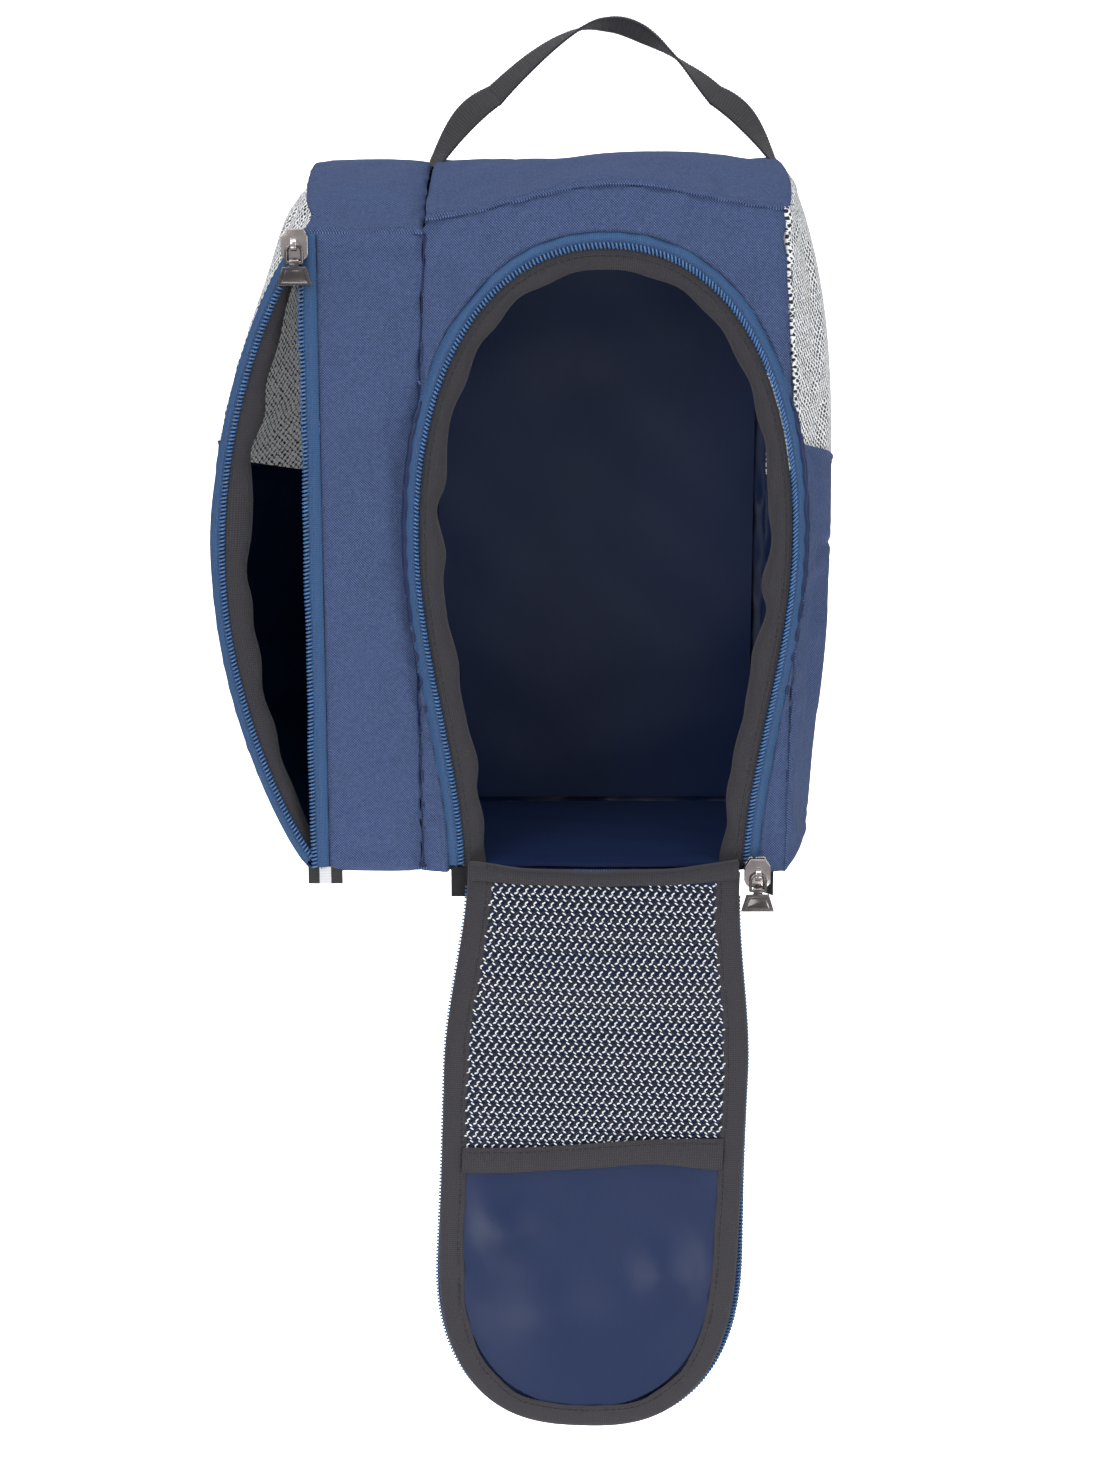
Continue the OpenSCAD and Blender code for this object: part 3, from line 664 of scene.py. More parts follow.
def tuck(grid, hint, sides, depth=1.0, reach=3.2):
    """Rolls the named sides of a panel inwards, as a turned seam does, with small puckers along it."""
    d = side_distance(grid, sides)
    n = facing(grid, hint)
    roll = depth * (1 - clamp01(d / reach)) ** 2
    pucker = 0.22 * crumple(grid, 7.0, 5) * np.exp(-d / 5.0) * clamp01(d / 1.0)
    return grid - n * (roll - pucker)[..., None]


def drape(grid, hint, pressure, cap, shrink=-0.012, frames=16):
    """Lets a panel settle as cloth with its edges held, pushed out gently from inside."""
    rows, cols = grid.shape[:2]
    n = facing(grid, hint)
    face = grid_faces(rows, cols)
    if (normals_of(grid) * n).sum() < 0:
        face = face[:, ::-1]
    pins = np.ones((rows, cols), bool)
    pins[1:-1, 1:-1] = False
    cloth = make("cloth_trial", grid.reshape(-1, 3), face, [navy])
    group = cloth.vertex_groups.new(name="pins")
    group.add([int(i) for i in np.flatnonzero(pins.ravel())], 1.0, "REPLACE")
    modifier = cloth.modifiers.new("Cloth", "CLOTH")
    setting = modifier.settings
    setting.quality = 5
    setting.mass = 0.25
    setting.tension_stiffness = setting.compression_stiffness = 20
    setting.shear_stiffness = 8
    setting.bending_stiffness = 0.4
    setting.shrink_min = shrink
    setting.use_pressure = True
    setting.uniform_pressure_force = pressure
    setting.vertex_group_mass = "pins"
    setting.effector_weights.gravity = 0
    modifier.collision_settings.use_self_collision = False
    modifier.collision_settings.use_collision = False
    modifier.point_cache.frame_start = 1
    modifier.point_cache.frame_end = frames
    scene = bpy.context.scene
    for f in range(1, frames + 1):
        scene.frame_set(f)
    settled = cloth.evaluated_get(bpy.context.evaluated_depsgraph_get()).data
    out = np.empty(rows * cols * 3, np.float32)
    settled.vertices.foreach_get("co", out)
    shift = out.reshape(rows, cols, 3) / MM - grid
    size = np.linalg.norm(shift, axis=-1, keepdims=True)
    shift *= np.minimum(1, cap / np.maximum(size, 1e-6))
    mesh = cloth.data
    bpy.data.objects.remove(cloth)
    bpy.data.meshes.remove(mesh)
    scene.frame_set(1)
    return grid + np.nan_to_num(shift)


def dent(grid, centre, radii, depth, direction):
    """Presses a soft hollow into a grid round a place."""
    d = ((grid - np.array(centre, float)) / np.array(radii, float)) ** 2
    return push(grid, direction, depth * np.exp(-d.sum(-1)))


def creases(grid, *folds):
    """Presses folds along straight lines, each fading out at both ends."""
    for start, end, width, depth, direction in folds:
        a, span = np.array(start, float), np.array(end, float) - np.array(start, float)
        share = clamp01(((grid - a) @ span) / (span @ span))
        off = np.linalg.norm(grid - (a + share[..., None] * span), axis=-1)
        grid = push(grid, direction, depth * bell(off, width) * hump(0.08 + 0.84 * share))
    return grid


def navy_panel(name, node, grid, thick, hint, uv=None):
    """Navy outside, coated inside."""
    return place(panel(name, grid, thick, [navy, lining], hint, uv), "bag", "navy_fabric", node)


def navy_seam(name, grid, hint, side, inset, stitch=NAVY_STITCH):
    return seam(name, "bag", "navy_fabric", grid, hint, side, inset, stitch)


# ---- body of the bag ----
def build_base():
    t = np.linspace(0, 1, 25)
    u = np.linspace(0, 1, 41)[:, None]
    x = lerp(left_wall(t, 0 * t)[:, 0] + 1.9, right_wall(t, 0 * t)[:, 0] - 1.9, u)
    sag = -1.2 * hump((x - DOOR_CX + MOUTH_HALF) / (2 * MOUTH_HALF)) * (1 - t) ** 3
    flat = spread(x, lerp(FRONT_Y + 0.6, BACK_Y - 2, t), 0.3 + sag)
    outside = tuck(resample(flat, 81, 49), DOWN, ALL_SIDES, 0.8, 4)
    place(panel("base_cover", outside, 1.2, [navy], DOWN, outside[..., :2]), "bag", "navy_fabric", "base_panel")
    low, high = (np.array(c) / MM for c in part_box("base_board"))
    u, v = shares(60, 40)
    x = lerp(low[0] - 1, high[0] + 1, u)
    y = lerp(low[1] - 3, high[1], v)
    floor = spread(x, y, high[2] + 0.4 + 0.35 * crumple(spread(x, y, 0.0), 34, 3))
    place(panel("floor_lining", floor, 1.6, [lining], UP, floor[..., :2]), "bag", "coated_lining", "base_board")


def build_back():
    u, v = shares(31, 41)
    z = lerp(0, BACK_TOP_Z - 1, v)
    x = lerp(back_left_x(z) + 0.3, back_right_x(z) - 0.3, u)
    grid = spread(x, BACK_Y + 4 * hump(u) * hump(z / BACK_TOP_Z), z)
    settled = push(drape(grid, BACK, 0.5, 4), BACK, 0.9 * crumple(grid, 120, 21) * hump(u) * hump(v))
    fine = tuck(resample(settled, 91, 101), BACK, ALL_SIDES)
    navy_panel("back_cover", "back_panel", fine, WALL - 0.2, BACK)
    for tag, side in (("left", "u0"), ("right", "u1"), ("top", "v1"), ("bottom", "v0")):
        navy_seam("back_stitches_" + tag, fine, BACK, side, 4.2)
    inner = spread(lerp(SEAM_X + 4, CORNER_TOP_X - 2, u), BACK_Y - 3, lerp(5, BACK_TOP_Z - 7, v))
    wrinkles = 0.6 * crumple(inner, 45, 8) * (hump(u) * hump(v)) ** 0.5
    inner = resample(push(inner, BACK, 3.4 * hump(u) * hump(v) + wrinkles), 70, 90)
    place(panel("back_lining_sheet", inner, 0.5, [lining], FRONT), "bag", "coated_lining", "back_lining")


def build_divider():
    t, v = shares(26, 40)
    t = lerp(0.01, 0.955, t)
    z = lerp(4.0, top_z(SEAM_TOP_X - 1, t) - 2.4, v)
    grid = spread(divide_x(z) + 1.2, lerp(FRONT_Y, BACK_Y, t), z)
    fine = resample(drape(grid, RIGHT, 0.15, 3, shrink=-0.02), 60, 90)
    fine = push(fine, RIGHT, 0.5 * crumple(fine, 38, 12) * hump((fine[..., 1] - FRONT_Y) / 130))
    sheet = panel("divider_lining", fine, 0.8, [lining], RIGHT, fine[..., [1, 2]])
    place(sheet, "bag", "coated_lining", "divider_panel")


def top_grid(left_edge, right_edge, rows, cols):
    u, t = shares(rows, cols)
    x = lerp(left_edge(t), right_edge(t), u)
    return spread(x, lerp(FRONT_Y, BACK_Y, t), top_z(x, t))


def wall_top_x(wall, corner_x, t):
    """Across position of a side wall's top edge."""
    return wall(t, top_z(corner_x, t) - 0.6)[..., 0]


def finish_top(tag, grid, rows):
    fine = tuck(resample(grid, rows, 71), UP, ALL_SIDES, 1.1)
    navy_panel(tag + "_top_cover", tag + "_top_panel", fine, WALL, UP, fine[..., :2] * [1, 1.1])
    navy_seam(tag + "_top_stitches", fine, UP, "v0", 3.4)


def build_tops():
    grid = top_grid(lambda t: SEAM_TOP_X + 0.3, lambda t: wall_top_x(right_wall, CORNER_TOP_X, t), 45, 25)
    grid = resample(drape(grid, UP, 0.5, 4), 91, 49, 0.0)
    grid = dent(grid, (4, 46, 334), (15, 50, 60), 3.4, DOWN)
    grid = dent(grid, (64, 5, 334), (34, 34, 60), -1.8, DOWN)
    grid = creases(grid, ((-44, -14, 330), (16, 30, 334), 6, 3.4, DOWN), ((-48, -38, 326), (-6, -20, 330), 7, 1.6, UP),
                   ((84, 40, 334), (106, -40, 322), 8, 4.2, DOWN), ((102, 30, 330), (112, -30, 322), 5, 1.8, UP))
    finish_top("main", grid, 121)
    grid = top_grid(lambda t: wall_top_x(left_wall, LEFT_TOP_X, t), lambda t: SEAM_TOP_X - 0.3, 25, 25)
    finish_top("pocket", dent(drape(grid, UP, 0.5, 3.5), (-88, -38, 325), (15, 17, 60), 1.4, DOWN), 61)


def sewn_edge(path):
    """Where the front panel is sewn, opposite each point of the opening."""
    out = []
    for x, z in path:
        side = divide_x(z) - 0.2 if x < DOOR_CX else right_x(z)
        if z < WAIST_Z:
            out.append((float(side), z))
            continue
        dx, dz = x - DOOR_CX, z - WAIST_Z
        k_side = 1000.0
        if abs(dx) > 1:
            k_side = (float(divide_x(WAIST_Z) - 0.2 if dx < 0 else right_x(WAIST_Z)) - DOOR_CX) / dx
            wall_z = WAIST_Z + dz * k_side
            k_side = (float(divide_x(wall_z) - 0.2 if dx < 0 else right_x(wall_z)) - DOOR_CX) / dx
        k_top = 1000.0
        if dz > 1:
            k_top = (float(front_top(np.array(x))) - WAIST_Z) / dz
            k_top = (float(front_top(np.array(DOOR_CX + dx * k_top))) - 0.4 - WAIST_Z) / dz
        k = min(k_side, k_top)
        out.append((DOOR_CX + dx * k, WAIST_Z + dz * k))
    return np.array(out)


def build_main_front():
    count, steps = 125, 13
    inner = opening_path(TAPE_W + COIL_R - 0.6, count=count)
    edge = sewn_edge(opening_path(0, count=count))
    v = np.linspace(0, 1, steps)
    flat = lerp(inner[:, None], edge[:, None], v[:, None])
    proud = (0.9 + (LIP_PROUD - 2.6) * lip_out(inner[:, 1:])) * (1 - ease(v))
    grid = drape(spread(flat[..., 0], FRONT_Y - proud, flat[..., 1]), FRONT, 0.35, 3.5, shrink=-0.018)
    fine = resample(grid, 301, 41)
    span = np.linalg.norm(fine[:, -1:] - fine[:, :1], axis=-1)
    fine = creases(fine, ((-50, -66, 300), (-47, -66, 205), 6, 2.2, BACK),
                   ((-40, -66, 306), (-34, -66, 250), 6, 1.5, FRONT), ((-58, -66, 130), (-54, -66, 20), 4, 1.5, BACK),
                   ((104, -66, 120), (106, -66, 10), 5, 1.6, BACK), ((74, -66, 318), (100, -66, 262), 7, 1.8, BACK),
                   ((100, -66, 305), (104, -66, 240), 5, 1.2, FRONT))
    fine = push(fine, FRONT, 0.35 * crumple(fine, 55, 33) * clamp01(span / 40))
    fine = tuck(fine, FRONT, ["v1"], 2.2, 7)
    d = side_distance(fine, ["v0"])
    ridge = 0.9 * bell(d - 2.4, 1.6) - 1.2 * (1 - clamp01(d / 1.4)) ** 2
    fine = push(fine, FRONT, ridge * clamp01(span / 12))
    navy_panel("main_front_cover", "main_front_panel", fine, WALL - 0.3, FRONT)
    navy_seam("mouth_stitches", fine, FRONT, "v0", 1.9, (navy_thread, 2.3, 0.9, 0.26))


def build_pocket_front():
    u, v = shares(17, 61)
    z = lerp(0.2, POCKET_TOP_Z - 0.4, v)
    grid = spread(lerp(POCKET_EDGE_X, divide_x(z) + 0.2, u), FRONT_Y - 0.6 * hump(u), z)
    fine = resample(drape(grid, FRONT, 0.35, 3.5, shrink=-0.015), 61, 141)
    fine = creases(fine, ((-68, -66, 285), (-70, -66, 150), 6, 1.7, BACK),
                   ((-88, -66, 270), (-84, -66, 60), 12, 1.2, FRONT), ((-74, -66, 120), (-70, -66, 20), 7, 1.3, BACK))
    fine = push(fine, FRONT, 0.4 * crumple(fine, 60, 34) * hump((fine[..., 0] + 108) / 46))
    fine = tuck(tuck(fine, FRONT, ["u0", "v0", "v1"], 1.1), FRONT, ["u1"], 2.2, 8)
    navy_panel("pocket_front_cover", "pocket_front_panel", fine, WALL - 0.2, FRONT)
    navy_seam("pocket_edge_stitches", fine, FRONT, "u0", 2.2)


def wall_grid(wall, corner_x, rows, low_cols, high_cols):
    t = np.linspace(0, 1, rows)[:, None]
    low = lerp(0.2, mesh_z(t), np.linspace(0, 1, low_cols + 1))
    high = lerp(mesh_z(t), top_z(corner_x, t) - 0.6, np.linspace(0, 1, high_cols + 1))[:, 1:]
    return wall(t, np.concatenate([low, high], axis=1))


def build_wall(tag, wall, corner_x, hint, front_side, dents, folds):
    """A side wall, fabric below and mesh above."""
    low_cols, high_cols = 35, 22
    grid = drape(wall_grid(wall, corner_x, 31, low_cols, high_cols), hint, 0.25, 1.5)
    for hollow in dents:
        grid = dent(grid, *hollow)
    low, high = resample(grid[:, :low_cols + 1], 101, 111), resample(grid[:, low_cols:], 91, 71)
    low = tuck(creases(low, *folds), hint, front_side + ["u1", "v0"], 1.2)
    under = (1 - clamp01(side_distance(low, ["v0"]) / 13)) ** 2
    low = push(low, -hint, ROUND_UNDER * under * hump(side_distance(low, ["u0"]) / 80))
    high = tuck(high, hint, front_side + ["u1", "v1"], 1.0)
    low = push(low, facing(low, hint), 0.9 * bell(side_distance(low, ["v1"]), 1.6))
    cover = navy_panel(tag + "_side_cover", tag + "_side_panel", low, WALL - 0.3, hint, low[..., [1, 2]])
    mesh = panel(tag + "_vent_mesh", high, WALL - 0.5, [mesh_out, mesh_in], hint, high[..., [1, 2]])
    place(mesh, "bag", "vent_mesh", tag + "_side_mesh")
    return cover, mesh, navy_seam(tag + "_hem_stitches", low, hint, "v1", 3.0)


def build_walls():
    """The two side walls; each piece of the left one gets a mesh of its own."""
    folds = [((126, -50, 186), (135, -30, 130), 6, 1.8, LEFT), ((128, -44, 150), (129, -42, 20), 6, 2.4, LEFT),
             ((134, -30, 165), (134, -28, 60), 6, 1.2, RIGHT), ((136, -14, 140), (134, -8, 20), 9, 2.4, LEFT),
             ((134, 26, 170), (134, 30, 50), 11, 1.8, LEFT)]
    build_wall("right", right_wall, CORNER_TOP_X, RIGHT, ["u0"], [((126, -46, 184), (40, 8, 12), 1.2, LEFT)], folds)
    dents = [((-150, -10, 120), (60, 10, 40), 1.6, RIGHT), ((-140, 25, 60), (60, 12, 30), 1.4, RIGHT)]
    for obj in build_wall("left", left_wall, LEFT_TOP_X, LEFT, [], dents, []):
        close_with_pocket(obj)


def close_with_pocket(obj):
    """Gives a piece of the pocket's wall or lip a mesh of its own."""
    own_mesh(obj)


# ---- main zip on the bag ----
def opening_line(grow, y, z0=4.0, count=241):
    path = opening_path(grow, z0, count)
    return spread(path[:, 0], FRONT_Y + y[0] + y[1] * lip_out(path[:, 1]), path[:, 1])


def build_mouth():
    inner = opening_line(COIL_R - 0.3, (-1.1, -LIP_PROUD))
    outer = opening_line(COIL_R + TAPE_W, (-0.2, -LIP_PROUD + 3.6))
    v = np.linspace(0, 1, 9)
    grid = lerp(inner[:, None], outer[:, None], v[:, None]) + 1.1 * hump(v[:, None]) ** 0.8 * FRONT
    uv = spread(lengths(inner)[:, None], v * TAPE_W)
    place(panel("main_zip_tape_ribbon", grid, 0.7, [tape_blue], FRONT, uv), "bag", "zip_tape", "main_zip_tape")
    seam("main_zip_stitches", "bag", "zip_tape", grid, FRONT, "v0", 1.6, ZIP_STITCH)
    line = opening_line(0, (-1.1, -LIP_PROUD))
    zip_coil("main_zip_coil", "bag", line, opening_line(-1, (-1.1, -LIP_PROUD)) - line)

    path = opening_path(0, 3.0, 241)
    s, out = lengths(path)[:, None], lip_out(path[:, 1:])
    near = opening_line(-COIL_R - 0.2, (-0.2, -LIP_PROUD + 0.9), 3.0)[:, None]
    direction = unit(opening_path(-1, 3.0, 241) - path)[:, None]
    drop = lerp(4.0, 8.5, out) + 1.6 * ripple(s, 26, 18)
    turn = v * PI / 2
    reach = FACING_W * (1 + 0.13 * ripple(s, 34, 17)) * lerp(0.75, 1, out) * np.sin(turn) ** 0.9
    y = near[..., 1] + drop * (1 - np.cos(turn)) + 0.5 * ripple(s, 15, 19) * v ** 2
    grid = spread(near[..., 0] + direction[..., 0] * reach, y, near[..., 2] + direction[..., 1] * reach)
    uv = spread(s, v * FACING_W)
    place(panel("main_facing_ribbon", grid, 0.9, [charcoal], FRONT, uv), "bag", "binding_ribbon", "main_facing")
    stitch = (black_thread, 2.1, 1.1, 0.28)
    seam("main_facing_stitches", "bag", "binding_ribbon", grid, FRONT, "v0", 3.4, stitch)


# ---- pocket zip ----
def build_pocket_zip():
    z = np.linspace(3, LIP_TOP_Z + 3.2, 121)
    wave = 0.35 * ripple(z, 60, 31)
    v = np.linspace(0, 1, 7)
    x = lerp(POCKET_COIL_X + 1.0, POCKET_EDGE_X + 0.5, v) + wave[:, None] * (1 - v)
    grid = spread(x, POCKET_COIL_Y - 0.5 * hump(v) + 1.2 * v ** 3, z[:, None])
    tape = panel("pocket_zip_tape_ribbon", grid, 0.6, [tape_blue], FRONT, spread(z[:, None], x))
    place(tape, "bag", "zip_tape", "pocket_zip_tape")
    seam("pocket_zip_stitches", "bag", "zip_tape", grid, FRONT, "v0", 2.2, ZIP_STITCH)
    zip_coil("pocket_zip_coil", "bag", spread(POCKET_COIL_X + wave, POCKET_COIL_Y, z), LEFT)

    lip_tape_w, facing_w = 4.8, 11.5
    z = np.linspace(4, LIP_TOP_Z + 1, 141)
    edge = spread(lip_x(z) + 0.3, lip_y(z) - 0.2, z)
    inward = unit(np.cross(unit(np.gradient(edge, axis=0)), np.array([0.45, 0.9, 0.0])))
    inward *= np.sign(inward[:, :1])
    grid = edge[:, None] + inward[:, None] * lip_tape_w * v[:, None] + 0.7 * hump(v[:, None]) * FRONT
    uv = spread(lengths(edge)[:, None], lip_tape_w * v)
    tape = panel("pocket_lip_tape_ribbon", grid, 0.7, [tape_blue], FRONT, uv)
    moving = [place(tape, "bag", "zip_tape", "pocket_lip_tape"),
              seam("pocket_lip_stitches", "bag", "zip_tape", grid, FRONT, "v1", 1.4, ZIP_STITCH),
              zip_coil("pocket_lip_coil", "bag", edge + inward * 5.8, inward)]
    turn = np.linspace(0, 1, 9) * PI / 2
    fade = ease((LIP_TOP_Z + 2 - z) / 40)
    width = facing_w * (0.35 + 0.65 * lip_bulge(z)) * (1 + 0.14 * ripple(z, 40, 41)) * lerp(0.5, 1, fade)
    depth = 6.5 + 1.3 * ripple(z, 30, 42)
    near = edge + inward * 6.6
    x = near[:, :1] + width[:, None] * np.sin(turn)
    grid = spread(x, near[:, 1:2] + 0.8 + depth[:, None] * (1 - np.cos(turn)), z[:, None])
    uv = spread(z[:, None], np.linspace(0, facing_w, 9))
    lip = panel("pocket_lip_facing_ribbon", grid, 0.8, [charcoal], FRONT, uv)
    stitch = (black_thread, 2.1, 1.1, 0.26)
    moving += [place(lip, "bag", "binding_ribbon", "pocket_lip_facing"),
               seam("pocket_facing_stitches", "bag", "binding_ribbon", grid, FRONT, "v1", 3.0, stitch)]
    for obj in moving:
        close_with_pocket(obj)


# ---- ribbon tabs ----
def folded_tab(name, node, mat, tilt=0.0):
    """Ribbon folded double under the base edge."""
    low, high = (np.array(c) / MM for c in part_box(node))
    half_t = 0.72
    drop = high[2] - low[2]
    angle = np.linspace(0, PI, 9)
    loop = spread(-half_t * np.cos(angle) * 1.15, -drop + half_t - half_t * np.sin(angle))
    line = np.array([(-half_t, 3.0), (-half_t, -drop * 0.5), *loop, (half_t, -drop * 0.5), (half_t, 3.0)])
    x = np.linspace(low[0], high[0], 13)[:, None]
    y = (low[1] + high[1]) / 2 + line[:, 0] + 0.12 * np.sin(x * 0.9)
    grid = spread(x, y, -0.2 + line[:, 1] + tilt * (x - x.mean()))
    place(panel(name, grid, 0.3, [mat], FRONT, spread(x, lengths(line))), "bag", "tab_ribbon", node)


# ---- handle ----
def build_handle():
    """One strap of ribbed webbing from seam to seam, twisting a little on its way."""
    t = np.linspace(0.002, 0.998, 620)
    centre = handle_point(t)
    tangent = unit(np.gradient(centre, axis=0))
    twist = np.array([16.0, 38, 29, 21, 8, -14, -19, 3, 28, 35, 8])
    turn = np.radians(cubic(twist, t * (len(twist) - 1)))[:, None]
    width_dir = BACK * np.cos(turn) + spread(-tangent[:, 2], 0.0, tangent[:, 0]) * np.sin(turn)
    up = np.cross(width_dir, tangent)
    s = lengths(centre)[:, None]
    w = np.linspace(-1, 1, 13)
    thick = 0.8 * (1 - 0.35 * np.abs(w) ** 8)
    # places round the strap: across it, through it, and which way its ribs stand out
    wide = w * WEBBING_W / 2
    outline = np.concatenate([spread(wide, thick, 1.0), spread(wide, -thick, -1.0)[::-1]])
    high = outline[:, 1] + 0.17 * np.sin(2 * PI * s / WEBBING_RIB) * outline[:, 2]
    points, faces = sweep(centre[:, None] + outline[:, :1] * width_dir[:, None] + high[..., None] * up[:, None])
    uv = spread(s, outline[:, 0]).reshape(-1, 2)
    strap = make("handle_strap", points, faces, [webbing_mat], uv=uv)
    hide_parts("handle_webbing", "handle_end_left", "handle_end_right")
    low, high = (HANDLE_Z + 2) * MM, (HANDLE_PIVOT_Z + 7) * MM
    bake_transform(strap)


# ---- door ----
def door_grid(inset, s0, s1, rows, cols):
    """Places across and down the door, set in from its edge."""
    s = lerp(s0, s1, np.sin(np.linspace(0, 1, cols) * PI / 2))
    half = np.maximum(0.4, door_w_at(s * DOOR_LEN / (DOOR_LEN - inset)) - inset)
    x = np.linspace(-1, 1, rows)[:, None] * half
    return x, s + 0 * x


def door_edge(s0, count):
    """Outline of the door, from one hinge end round the tip to the other, and the way in from it."""
    s = lerp(s0, DOOR_LEN, np.sin(np.linspace(0, 1, 400) * PI / 2))
    right = spread(np.maximum(0.0, door_w_at(s)), s)
    path = np.concatenate([right * [-1, 1], right[-2::-1]])
    path = along(path, lengths(path)[-1] / (count - 1))
    t = unit(np.gradient(path, axis=0))
    inward = spread(-t[:, 1], t[:, 0])
    inward *= np.sign((inward * (np.array([0, 140.0]) - path)).sum(-1, keepdims=True))
    return path, inward


def lining_relief(x, s):
    """Soft hollows and swells of the satin inside the door."""
    # height, middle across and down, reach across and down
    swells = [(3.2, -2, 52, 46, 17), (-1.0, 4, 100, 44, 27), (4.6, -16, 232, 26, 20),
              (3.4, 40, 206, 15, 18), (2.4, -40, 186, 15, 13)]
    wrinkle = 1.6 * bell(x - 2, 26) * bell(s - 24 - 0.16 * x, 6)
    return wrinkle + sum(h * bell(x - cx, wide) * bell(s - cs, tall) for h, cx, cs, wide, tall in swells)


def build_door():
    x, s = door_grid(0.9, 2.0, DOOR_LEN - 0.9, 51, 71)
    puff = 1.1 * (1 - (x / DOOR_HALF) ** 2) * hump(s / DOOR_LEN) ** 0.5
    settled = drape(on_door(x, 2.5 + puff, s), BACK, 0.4, 3)
    fine = tuck(resample(settled, 101, 141, 0.3), BACK, ["u0", "u1"], 0.8)
    place(panel("door_cover", fine, 1.0, [navy], BACK), "door", "navy_fabric", "door_outer")

    x, s = door_grid(BINDING_W + 0.6, 4.0, DOOR_LEN - BINDING_W - 0.8, 41, 51)
    grid = on_door(x, 1.2 + 0.5 * hump((x / DOOR_HALF + 1) / 2), s)
    pad = place(panel("door_padding", grid, 2.2, [foam_mat], BACK), "door", "foam", "door_foam")

    inset = BINDING_W - 2
    x, s = door_grid(inset, LINING_TOP, DOOR_LEN - inset, 81, 151)
    free = 1 - ease(1 - (door_w_at(s) - np.abs(x) - inset) / 14)
    relief = lining_relief(x, s) + 0.42 * crumple(spread(x, -1.7, s), 34, 61)
    world = on_door(x, -1.9 - free * relief * hump(0.03 + s / DOOR_LEN) ** 0.4, s)
    sheet = panel("door_lining_sheet", world, 0.45, [lining], FRONT, spread(x, s))
    place(sheet, "door", "coated_lining", "door_lining")
    build_door_binding()
    build_door_net()
    build_door_zip()


def build_door_binding():
    """Ribbon folded round the door's edge, its inner side wavy and stitched down."""
    path, inward = door_edge(-5.0, 321)
    s = lengths(path)[:, None]
    width = BINDING_W + 0.45 * ripple(s, 42, 71)
    # places round the fold: share of the width in from the edge, and distance out of the door
    outline = [(1.0, -2.35), (0.93, -2.75), (0.75, -2.9), (0.5, -2.95), (0.25, -2.85), (0.1, -2.5), (0.02, -1.6),
               (-0.02, -0.4), (0.04, 0.7), (0.16, 1.2), (0.2, 1.0), (0.2, -0.6), (0.6, -1.9), (0.95, -2.15)]
    across, out = np.array(outline).T
    flat = path[:, None] + inward[:, None] * (width * across)[..., None]
    y = out + 0.3 * ripple(s, 18, 72) * (out < -2) * across
    points, faces = sweep(on_door(flat[..., 0], y, flat[..., 1]))
    uv = spread(s, across * BINDING_W).reshape(-1, 2)
    binding = make("door_binding_ribbon", points, faces, [charcoal], uv=uv)
    place(binding, "door", "binding_ribbon", "door_binding")
    line = path + inward * width * 0.78
    line = on_door(line[:, 0], -2.95, line[:, 1])
    sew("door_binding_stitches", "door", "binding_ribbon", line, FRONT, black_thread, 2.2, 1.0, 0.3)


NET_ACROSS, NET_DOWN = 4.15, 3.32
NET_TOP, NET_BOTTOM = -1.4, 147.0
# pale floats in one repeat of the net: both ends, across and down, and a radius
NET_FLOATS = [((-0.2, 1.5), (1.15, 0.5), 0.42), ((-0.25, 1.65), (0.45, 2.6), 0.27), ((-1.45, 3.35), (0.05, 2.85), 0.42),
              ((0.9, 3.5), (2.3, 4.65), 0.33), ((1.45, 5.35), (3.0, 6.4), 0.36)]


def band_top(x):
    """How far down the door the pocket band's upper edge runs."""
    return 136.0 - 5.0 * np.tanh(x / 42)


def net_point(x, s):
    """A place on the net, which lies on the lining and stands off it near the hinge."""
    loose = ease((door_w_at(s) - BINDING_W + 1 - np.abs(x)) / 9) * ease((s + 3) / 12)
    loose = loose * (1 - 0.6 * ease((s - 112) / 20))
    lift = 1.0 + np.maximum(0, lining_relief(x, s)) + 0.3 * hump((s - 6) / 70) * bell(x, 50)
    return on_door(x, -2.35 - loose * lift, s)


def net_strands():
    """Ends of the net's strands in door places: rows of nodes joined into hexagons."""
    starts, ends = [], []
    rows = int((NET_BOTTOM - NET_TOP) / NET_DOWN)
    for row in range(rows + 1):
        s = NET_TOP + row * NET_DOWN
        half = float(door_w_at(np.array(s))) - BINDING_W + 0.6
        shift = 0.5 * NET_ACROSS * (row % 2)
        lean = 0.5 if row % 2 else -0.5
        x = np.arange(-half, half, NET_ACROSS) + shift
        for place_x in x:
            top = (place_x - lean / 2, s)
            foot = (place_x + lean / 2, s + 0.42 * NET_DOWN)
            starts.append(top)
            ends.append(foot)
            for side in (-1, 1):
                starts.append(foot)
                ends.append((place_x + side * NET_ACROSS / 2 + lean / 2, s + NET_DOWN))
    return below_hinge(np.array(starts), np.array(ends))


def below_hinge(a, b, *more):
    """Keeps the strands that start below the hinge ribbon's lower edge and end on the net."""
    half = door_w_at(b[:, 1]) - BINDING_W + 1.5
    kept = (a[:, 1] > HINGE_Z - hinge_foot(a[:, 0]) - 1.0) & (np.abs(b[:, 0]) < half) & (np.abs(a[:, 0]) < half)
    kept &= b[:, 1] < band_top(b[:, 0]) + 4
    return [part[kept] for part in (a, b, *more)]


def net_floats():
    """Ends and radii of the pale floats, one set for each repeat of the net."""
    a, b, radius = [], [], []
    for s in np.arange(NET_TOP - 2 * NET_DOWN, NET_BOTTOM, 2 * NET_DOWN):
        for x in np.arange(-18, 18) * NET_ACROSS:
            for start, end, r in NET_FLOATS:
                a.append((x + start[0], s + start[1]))
                b.append((x + end[0], s + end[1]))
                radius.append(r)
    return below_hinge(np.array(a), np.array(b), np.array(radius))


